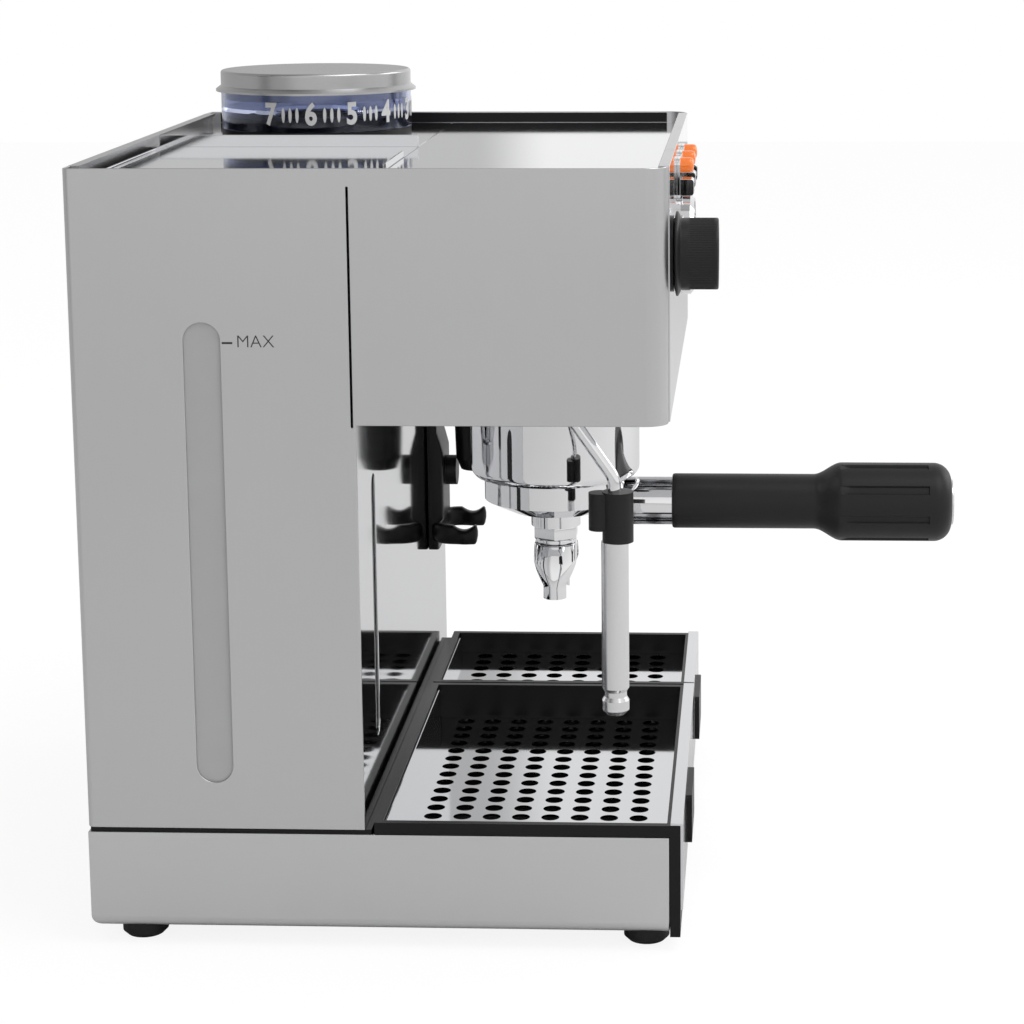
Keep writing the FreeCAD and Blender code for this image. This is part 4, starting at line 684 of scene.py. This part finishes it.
def make_hopper_numbers():
    """Numbers and lens-shaped ticks: flat letters bent round the bowl, x going to the angle x / R."""
    sizes = bpy.context.scene.espresso_sizes
    centre = middle("bean_hopper")
    radius = (high("bean_hopper").x - low("bean_hopper").x) / 2 + 0.0001
    level = high("hopper_deck").z + 0.0080
    parts = []

    def bent(points, angle):
        turn = angle + points[:, 0] / radius
        out = radius + points[:, 2]
        return np.stack([centre.x - out * np.cos(turn), centre.y + -out * np.sin(turn) * 1.0, level + points[:, 1]], -1)

    for number in range(1, 8):
        angle = (6.24 - number) * sizes.number_pitch
        points, faces = lettering(str(number), sizes.number_height, 0.0002, 0.00055, 0.8)
        parts.append((bent(points, angle), faces))
        if number == 7:
            continue
        for tick in (-1, 0, 1):
            along = np.linspace(0, 2 * np.pi, 24, endpoint=False)
            x, y = np.cos(along) * 0.00085, np.sin(along) * sizes.tick_height / 2
            rim = np.concatenate([np.stack([x, y, 0 * x - 0.0001], -1), np.stack([x, y, 0 * x + 0.0001], -1)])
            faces = grid_faces(2, 24).tolist() + [list(range(23, -1, -1)), list(range(24, 48))]
            parts.append((bent(rim, angle - sizes.number_pitch * (0.5 + tick * 0.17)), faces))
    points, faces = joined(parts)
    new_piece("hopper_numbers", points, faces, "hopper", "number_paint")


# Group, holder and handle --------------------------------------------------------------------------------------

def make_group():
    """The bell, its gasket and screen, the holder and the basket."""
    for node in ("group_head", "portafilter", "filter_basket"):
        dress_node(node, "chrome")
    dress_node("group_gasket", "rubber")
    dress_node("shower_screen", "polished_steel")


def make_spout():
    """The double spout: a nut, a ring, a body with rounded shoulders and two open channels that part below it.

    A channel is a half ring swept down the line x = side (a + b s s), z from shoulder to tip, open inwards.
    """
    top, tip = high("spout").z, low("spout").z
    centre = middle("spout")
    nut = rounded([(0.0, 0.0), (0.0108, 0.0, 0.0008), (0.0108, 0.0062, 0.0008), (0.0, 0.0062)], 4)
    turns = np.arange(96) * 2 * np.pi / 96

    def six_sided(radius, height, angle):
        flat = np.cos(np.pi / 6) / np.cos((angle + np.pi / 6) % (np.pi / 3) - np.pi / 6)
        return np.where(radius > 0.009, radius * flat * 1.08, radius)

    points = spun(nut, (centre.x, centre.y, top - 0.0062), (0, 0, 1), turns, six_sided)
    new_piece("spout_nut", points, grid_faces(len(nut), 96), "filter_holder", "chrome", "chrome", sharp=28.0)
    ring = rounded([(0.0, 0.0), (0.0100, 0.0, 0.0008), (0.0100, 0.0024, 0.0008), (0.0, 0.0024)], 5)
    points = spun(ring, (centre.x, centre.y, top - 0.0086), (0, 0, 1), 96)
    new_piece("spout_ring", points, grid_faces(len(ring), 96), "filter_holder", "chrome", "chrome")
    half = (high("spout").x - low("spout").x) / 2
    shoulder = top - 0.0086
    s = np.linspace(0, 1, 26)
    parts = []
    for side in (-1, 1):
        path_x = side * (0.004 + (half - 0.0095) * (1 - (1 - s) ** 2.2))
        path_z = shoulder - 0.0005 + (tip - shoulder + 0.0005) * s
        wide = 0.0104 - 0.0048 * np.clip((s - 0.3) / 0.45, 0, 1) ** 1.3
        deep = 0.0085 - 0.003 * s
        lap = np.linspace(-0.5 * np.pi, 0.5 * np.pi, 15)
        outer = np.stack([np.cos(lap), np.sin(lap)], -1)
        rim = np.concatenate([outer, outer[::-1] * 0.8])
        rows = []
        for place in range(len(s)):
            rows.append(np.stack([centre.x + path_x[place] + side * (rim[:, 0] * deep[place] - 0.001),
                                  centre.y + rim[:, 1] * wide[place], 0 * rim[:, 0] + path_z[place]], -1))
        faces = grid_faces(len(s), len(rim)).tolist()
        faces.append(list(range(len(rim) - 1, -1, -1)))
        faces.append(list(range((len(s) - 1) * len(rim), len(s) * len(rim))))
        parts.append((np.concatenate(rows), faces))
    points, faces = joined(parts)
    new_piece("spout_channels", points, faces, "filter_holder", "chrome", "chrome", ("spout",), sharp=40.0)
    hood = rounded([(0.0, -0.0165), (0.0050, -0.0150, 0.004), (0.0101, -0.0105, 0.004), (0.0106, -0.0002, 0.001),
                    (0.0, -0.0002)], 6)
    points = spun(hood, (centre.x, centre.y, shoulder), (0, 0, 1), 96)
    new_piece("spout_hood", points, grid_faces(len(hood), 96), "filter_holder", "chrome", "chrome")


def make_handle():
    """Grip and cap as one turned form: r = R(h) less the groove depth inside each groove's width and length."""
    sizes = bpy.context.scene.espresso_sizes
    root, tip = high("handle_grip").y, low("handle_cap").y
    centre = middle("handle_cap")
    end_radius = (high("handle_cap").x - low("handle_cap").x) / 2
    slim = end_radius * 0.7
    long = root - tip
    flare_start, flare_end = long * 0.505, long * 0.605
    h = np.concatenate([[0.0, 0.0, 0.0003, 0.0012], np.linspace(0.003, flare_start, 14),
                        np.linspace(flare_start, flare_end, 22)[1:], np.linspace(flare_end, 0.1236, 26)[1:],
                        [0.12385, 0.1241, 0.1245]])
    u = np.clip((h - flare_start) / (flare_end - flare_start), 0, 1)
    r = slim + (end_radius - slim) * u * u * (3 - 2 * u)
    r[:4] = 0.0, slim - 0.0012, slim - 0.0003, slim
    bend = np.linspace(0, np.pi / 2, 14)
    round_end = 0.0085
    h = np.concatenate([h, long - 0.0009 - round_end + np.sin(bend) * round_end, [long - 0.0009, long - 0.0009]])
    r = np.concatenate([r, end_radius - round_end + np.cos(bend) * round_end, [0.0112, 0.0]])
    half = sizes.groove_width / 2 / end_radius
    period = 2 * np.pi / sizes.groove_count
    spots = np.concatenate([np.linspace(-period / 2, -half * 1.15, 8)[:-1], np.linspace(-half * 1.15, half * 1.15, 19),
                            np.linspace(half * 1.15, period / 2, 8)[1:-1]])
    turns = (spots[None, :] + np.arange(sizes.groove_count)[:, None] * period).ravel() + math.radians(15.5)
    start, stop = flare_end * 0.985, 0.12385

    def grooved(radius, height, angle):
        nearest = np.abs((angle - math.radians(15.5) + period / 2) % period - period / 2)
        across = np.clip((half - nearest) / (half * 0.22), 0, 1)
        along = np.clip((height - start) / 0.005, 0, 1) * np.clip((stop - height) / 0.00025, 0, 1)
        return radius - sizes.groove_depth * across * along * (radius > slim)

    points = spun(np.stack([r, h], -1), (centre.x, root, centre.z), (0, -1, 0), turns, grooved)
    new_piece("handle_body", points, grid_faces(len(h), len(turns)), "filter_holder", "black_grip", "black_plastic",
              ("handle_grip", "handle_cap"), sharp=32.0)
    disc = rounded([(0, 0), (0.0110, 0), (0.0110, 0.0009, 0.0006), (0.0096, 0.0009, 0.0003), (0.0092, 0.0006, 0.0003),
                    (0.0, 0.0006)], 5)
    points = spun(disc, (centre.x, tip + 0.0009, centre.z), (0, -1, 0), 64)
    new_piece("handle_disc", points, grid_faces(len(disc), 64), "filter_holder", "satin_metal", "chrome")


# Steam side ----------------------------------------------------------------------------------------------------

def make_wand():
    """The wand, its grip and sleeve."""
    dress_node("wand_tube", "chrome")
    softened("wand_grip", "wand_grip_soft", "black_grip", 0.0005, 3)
    dress_node("wand_sleeve", "satin_metal")
    dress_node("steam_valve", "brass")
    dress_node("steam_spindle", "chrome")


def make_knob():
    """The ribbed steam knob, its skirt and its pointer line: r = R less ribs that rise and fall with the angle."""
    sizes = bpy.context.scene.espresso_sizes
    near, far = low("steam_knob"), high("steam_knob")
    centre = middle("steam_knob")
    skirt = (far.x - near.x) / 2
    wide, long = skirt * 16 / 19, far.y - near.y
    profile = rounded([(0.0, 0.0), (skirt - 0.0032, 0.0, 0.0006), (skirt, 0.0008, 0.0004), (skirt, 0.0016, 0.0004),
                       (wide + 0.0012, 0.0026, 0.0006), (wide, 0.0030, 0.0004), (wide, long, 0.0012),
                       (wide - 0.002, long, 0.0006), (wide - 0.0032, long - 0.0007, 0.0006),
                       (0.0, long - 0.0007)], 6)
    ribs = sizes.rib_count

    def ribbed(radius, height, angle):
        held = np.clip((height - 0.006) / 0.0012, 0, 1) * np.clip((long - 0.0012 - height) / 0.001, 0, 1)
        return radius - sizes.rib_depth * held * (0.5 + 0.5 * np.cos(angle * ribs)) * (radius > wide * 0.97)

    rows = np.concatenate([profile[:1], profile[1:]])
    body_rows = (rows[:, 0] > wide - 1e-6) & (rows[:, 0] < wide + 1e-6)
    start = np.flatnonzero(body_rows)[0]
    extra = np.stack([np.full(5, wide), np.array([0.0062, 0.0068, 0.0074, long - 0.003, long - 0.0022])], -1)
    rows = np.concatenate([rows[:start + 1], extra, rows[start + 1:]])
    turns = ribs * 6
    points = spun(rows, (centre.x, far.y, centre.z), (0, -1, 0), turns, ribbed)
    new_piece("steam_knob_body", points, grid_faces(len(rows), turns), "steam_control", "black_grip",
              "black_plastic", ("steam_knob",), sharp=40.0)
    line = np.array([[-0.0006, 0, -0.0125], [0.0006, 0, -0.0125], [0.0006, 0, -0.0035], [-0.0006, 0, -0.0035]])
    line = np.concatenate([line, line + (0, -0.00025, 0)])
    line = line * (1, 1, -1) + (centre.x, near.y + 0.0007, centre.z)
    sides = [[0, 1, 2, 3], [7, 6, 5, 4], [0, 4, 5, 1], [1, 5, 6, 2], [2, 6, 7, 3], [3, 7, 4, 0]]
    new_piece("steam_knob_line", line, sides, "steam_control", "number_paint")


# Front controls ------------------------------------------------------------------------------------------------

def make_dial():
    """The gauge's face: a thin ring-shaped card, eleven ticks at even angles, a green band and plain numbers."""
    centre = middle("gauge_case")
    front = high("gauge_needle").y * 0 + low("front_panel").y - 0.00208
    wide = 0.0206
    card = np.array([(0.0014, 0.0), (0.0014, 0.0001), (wide, 0.0001), (wide, 0.0), (0.0014, 0.0)])[:-1]
    points = spun(card, (centre.x, front, centre.z), (0, -1, 0), 96)
    new_piece("gauge_dial", points, grid_faces(4, 96, True), "machine", "dial", "clear_plastic")

    def arc(first, last, inner, outer, steps):
        t = np.radians(np.linspace(first, last, steps))
        rows = []
        for radius, depth in ((inner, 0.00014), (outer, 0.00014), (outer, 0.00008), (inner, 0.00008)):
            rows.append(np.stack([centre.x + radius * np.sin(t), 0 * t + front - depth, centre.z + radius * np.cos(t)], -1))
        faces = grid_faces(4, steps, True, False).tolist()
        faces.append([0, steps, 2 * steps, 3 * steps])
        faces.append([4 * steps - 1, 3 * steps - 1, 2 * steps - 1, steps - 1])
        return np.concatenate(rows), faces

    parts = []
    for tick in range(17):
        angle = -135 + 270 * tick / 16
        long = 0.0032 if tick % 4 == 0 else 0.0018
        parts.append(arc(angle - 0.9, angle + 0.9, wide - 0.0018 - long, wide - 0.0018, 3))
    for step in range(5):
        letters, faces = lettering(str(step * 4), 0.0034, 0.00004, 0.00006, 0.9)
        turn = math.radians(-135 + 270 * step / 4)
        away = wide - 0.0078
        place = np.stack([centre.x + letters[:, 0] + away * math.sin(turn), front - 0.00012 - letters[:, 2],
                          centre.z + letters[:, 1] + away * math.cos(turn)], -1)
        parts.append((place, faces))
    points, faces = joined(parts)
    new_piece("gauge_marks", points, faces, "machine", "mark_paint")
    points, faces = arc(0, 67, wide - 0.0017, wide - 0.0006, 30)
    new_piece("gauge_band", points, faces, "machine", "dial_green")


def make_controls():
    """Gauge, switches, lamps and the knob's plate."""
    dress_node("gauge_case", "chrome")
    dress_node("gauge_glass", "clear_plastic")
    dress_node("gauge_needle", "needle_black")
    dress_node("knob_plate", "black_plastic")
    softened("switch_bezels", "switch_frames", "chrome", 0.0005, 2)
    for node in ("power_rocker", "brew_rocker", "steam_rocker"):
        softened(node, node + "_key", "chrome", 0.0011, 3)
    lens = rounded([(0.0, 0.0), (0.0037, 0.0), (0.0037, 0.0060, 0.0026), (0.0, 0.0066, 0.0030)], 9)
    lenses = []
    for across in (low("lamp_lenses").x + 0.0041, middle("lamp_lenses").x, high("lamp_lenses").x - 0.0041):
        points = spun(lens, (across, high("lamp_lenses").y, middle("lamp_lenses").z + 0.0010), (0, -1, 0), 48)
        lenses.append((points, grid_faces(len(lens), 48)))
    new_piece("lamp_domes", *joined(lenses), "machine", "lamp_orange", "lamp_orange", ("lamp_lenses",))
    dress_node("switch_bodies", "black_plastic")


# Trays -----------------------------------------------------------------------------------------------------------

def make_trays():
    """The two trays, their front plates and their grids."""
    edge = bpy.context.scene.espresso_sizes.plastic_edge
    for node in ("near_tray", "far_tray"):
        softened(node, node + "_moulding", "black_plastic", edge * 0.7)
    for node in ("near_tray_front", "far_tray_front"):
        softened(node, node + "_plate", "polished_steel", edge * 0.5)
    for node in ("near_grid", "far_grid"):
        dress_node(node, "polished_steel")
        lowest, highest = low(node), high(node)
        rim = high(node.replace("grid", "tray")).z - 0.0016
        flange = block((lowest.x + 0.0005, highest.y - 0.0007, highest.z), (highest.x - 0.0005, highest.y - 0.0001, rim))
        new_piece(node + "_flange", *flange, body_of(node), "polished_steel", "polished_steel")


# Inside ------------------------------------------------------------------------------------------------------------

def make_inside():
    """Boiler, pump, valve and board."""
    for node, name in (("boiler", "brass"), ("pump", "aluminium"), ("solenoid_valve", "brass"),
                       ("control_board", "circuit_green")):
        dress_node(node, name)


# Stage ---------------------------------------------------------------------------------------------------------------

CAMERA_PLACE = (-1.294, -0.105, 0.469)
CAMERA_YAW, CAMERA_PITCH, CAMERA_ROLL = 2.672, 9.651, -0.275
CAMERA_LENS = 92.58
CAMERA_SHIFT = (-0.12, -0.155)


def make_camera():
    """The camera: it looks along +X, turned by yaw towards +Y and by pitch down, and is set as the scene's."""
    data = bpy.data.cameras.new("camera")
    data.lens = CAMERA_LENS
    data.sensor_width = 36.0
    data.shift_x, data.shift_y = CAMERA_SHIFT
    data.clip_start, data.clip_end = 0.05, 50.0
    camera = bpy.data.objects.new("camera", data)
    yaw, pitch, roll = (math.radians(angle) for angle in (CAMERA_YAW, CAMERA_PITCH, CAMERA_ROLL))
    forward = Vector((math.cos(pitch) * math.cos(yaw), math.cos(pitch) * math.sin(yaw), -math.sin(pitch)))
    right = forward.cross(Vector((0, 0, 1))).normalized()
    up = right.cross(forward)
    side = right * math.cos(roll) + up * math.sin(roll)
    top = up * math.cos(roll) - right * math.sin(roll)
    camera.matrix_world = Matrix((
        (side.x, top.x, -forward.x, CAMERA_PLACE[0]), (side.y, top.y, -forward.y, CAMERA_PLACE[1]),
        (side.z, top.z, -forward.z, CAMERA_PLACE[2]), (0, 0, 0, 1)))
    bpy.context.scene.collection.objects.link(camera)
    bpy.context.scene.camera = camera


def make_world():
    """White to the camera; for reflections and light, a pale studio that is greyer behind and has two dark flags."""
    world = bpy.data.worlds.new("studio")
    bpy.context.scene.world = world
    world.use_nodes = True
    made = Finish(world.node_tree)
    back = made.tree.nodes["Background"]
    direction = made.node("ShaderNodeSeparateXYZ", {}, {
        0: made.node("ShaderNodeTexCoord").outputs["Generated"]})
    x, y, z = (Value(made, direction.outputs[place]) for place in range(3))
    angle = x.maths("ARCTAN2", y, x) * (180 / math.pi)
    grey_wall = angle.ramp(4.4, 6.2) * angle.ramp(150.0, 165.0, 1.0, 0.0)
    flag = angle.ramp(-68.0, -66.0) * angle.ramp(-58.0, -56.0, 1.0, 0.0)
    flag = flag + angle.ramp(118.0, 121.0) * angle.ramp(130.0, 133.0, 1.0, 0.0)
    tone = (1 - grey_wall * 0.42) * (1 - flag * 0.9) * z.ramp(0.1, 0.95, 1.0, 0.72)
    path = made.node("ShaderNodeLightPath")
    seen = Value(made, path.outputs["Is Camera Ray"])
    made.join(back.inputs["Color"], made.between(
        seen, made.node("ShaderNodeCombineXYZ", {}, {0: tone, 1: tone, 2: tone}).outputs[0], (1.0, 1.0, 1.0)))
    back.inputs["Strength"].default_value = 1.0


def make_floor():
    """A plain pale floor, near white to the camera and keeping a soft shadow."""
    half = 4.0
    points = np.array([[-half, -half, 0], [half, -half, 0], [half, half, 0], [-half, half, 0]]) - (0, 0, 0.0002)
    mesh = bpy.data.meshes.new("floor")
    mesh.from_pydata(points.tolist(), [], [[0, 1, 2, 3]])
    floor = bpy.data.objects.new("floor", mesh)
    bpy.context.scene.collection.objects.link(floor)
    made = Finish.named("pale_floor")
    made.set(Base_Color=(0.86, 0.86, 0.86), Roughness=0.9, Specular_IOR_Level=0.0)
    glow = made.node("ShaderNodeEmission", {}, {"Color": (1, 1, 1, 1), "Strength": 1.09})
    path = made.node("ShaderNodeLightPath")
    share = Value(made, path.outputs["Is Camera Ray"]) * 0.8
    mixed = made.node("ShaderNodeMixShader", {}, {0: share, 1: made.shader.outputs[0], 2: glow.outputs[0]})
    made.tree.links.new(mixed.outputs[0], made.tree.nodes["Material Output"].inputs[0])
    mesh.materials.append(made.material)


def make_lamp(name, place, target, size, power):
    """A square soft lamp at place, turned to target."""
    data = bpy.data.lights.new(name, "AREA")
    data.shape = "SQUARE"
    data.size = size
    data.energy = power
    lamp = bpy.data.objects.new(name, data)
    lamp.matrix_world = Matrix.Translation(place) @ (Vector(target) - Vector(place)).to_track_quat(
        "-Z", "Y").to_matrix().to_4x4()
    bpy.context.scene.collection.objects.link(lamp)


def make_stage():
    """Camera, world, floor and lamps."""
    scene = bpy.context.scene
    scene.view_settings.view_transform = "Standard"
    make_camera()
    make_world()
    make_floor()
    make_lamp("lamp_over", (-0.5, -0.9, 1.9), (0, 0, 0.2), 1.3, 12.0)
    make_lamp("lamp_side", (0.9, -1.6, 1.0), (0, 0, 0.2), 1.0, 7.0)


# Add-on ----------------------------------------------------------------------------------------------------------------

def operator(name, label, words, work):
    """An operator class that runs one making function."""
    def execute(self, context):
        work()
        return {"FINISHED"}
    return type("ESPRESSO_OT_" + name, (bpy.types.Operator,), {
        "__doc__": words, "bl_idname": "espresso." + name, "bl_label": label, "execute": execute})


STEPS = (
    ("stage", "Stage", "Make the camera, floor, world and lamps.", make_stage),
    ("casing", "Casing", "Dress the sheet metal, windows, tank and feet.", make_casing),
    ("windows", "Level windows", "Dress the two strips behind the level slots.", make_windows),
    ("level_mark", "Level mark", "Print the level mark on the side panel.", make_level_mark),
    ("hopper", "Hopper and grinder", "Dress the hopper, its lid and the grinder.", make_hopper),
    ("fork", "Grinder fork", "Make the stem and the two dished arms.", make_fork),
    ("hopper_numbers", "Hopper numbers", "Print the numbers and ticks round the hopper.", make_hopper_numbers),
    ("group", "Group and holder", "Dress the group and the filter holder.", make_group),
    ("spout", "Spout", "Make the double spout.", make_spout),
    ("handle", "Handle", "Make the grooved handle and its end disc.", make_handle),
    ("wand", "Steam wand", "Dress the steam wand and its valve.", make_wand),
    ("knob", "Steam knob", "Make the ribbed steam knob.", make_knob),
    ("controls", "Gauge and switches", "Dress the gauge, switches and lamps.", make_controls),
    ("dial", "Gauge face", "Make the gauge's card, ticks and numbers.", make_dial),
    ("trays", "Drip trays", "Dress the trays, their plates and grids.", make_trays),
    ("inside", "Inside", "Dress the boiler, pump, valve and board.", make_inside),
)
OPERATORS = [operator(*step) for step in STEPS]


class ESPRESSO_PT_looks(bpy.types.Panel):
    """Panel that lists the making steps with their sizes and colours."""

    bl_idname = "ESPRESSO_PT_looks"
    bl_label = "Espresso machine"
    bl_space_type = "VIEW_3D"
    bl_region_type = "UI"
    bl_category = "Espresso"

    def draw(self, context):
        for made in OPERATORS:
            self.layout.operator(made.bl_idname)
        for group in (context.scene.espresso_sizes, context.scene.espresso_colours):
            for name in group.bl_rna.properties.keys():
                if name not in ("rna_type", "name"):
                    self.layout.prop(group, name)


CLASSES = [EspressoSizes, EspressoColours, *OPERATORS, ESPRESSO_PT_looks]


def register():
    for made in CLASSES:
        bpy.utils.register_class(made)
    bpy.types.Scene.espresso_sizes = PointerProperty(type=EspressoSizes)
    bpy.types.Scene.espresso_colours = PointerProperty(type=EspressoColours)


def unregister():
    del bpy.types.Scene.espresso_colours
    del bpy.types.Scene.espresso_sizes
    for made in reversed(CLASSES):
        bpy.utils.unregister_class(made)


def main():
    """Register, run every step in order and write the two boxes."""
    register()
    for name, *_ in STEPS:
        getattr(bpy.ops.espresso, name)()


if __name__ == "__main__":
    main()
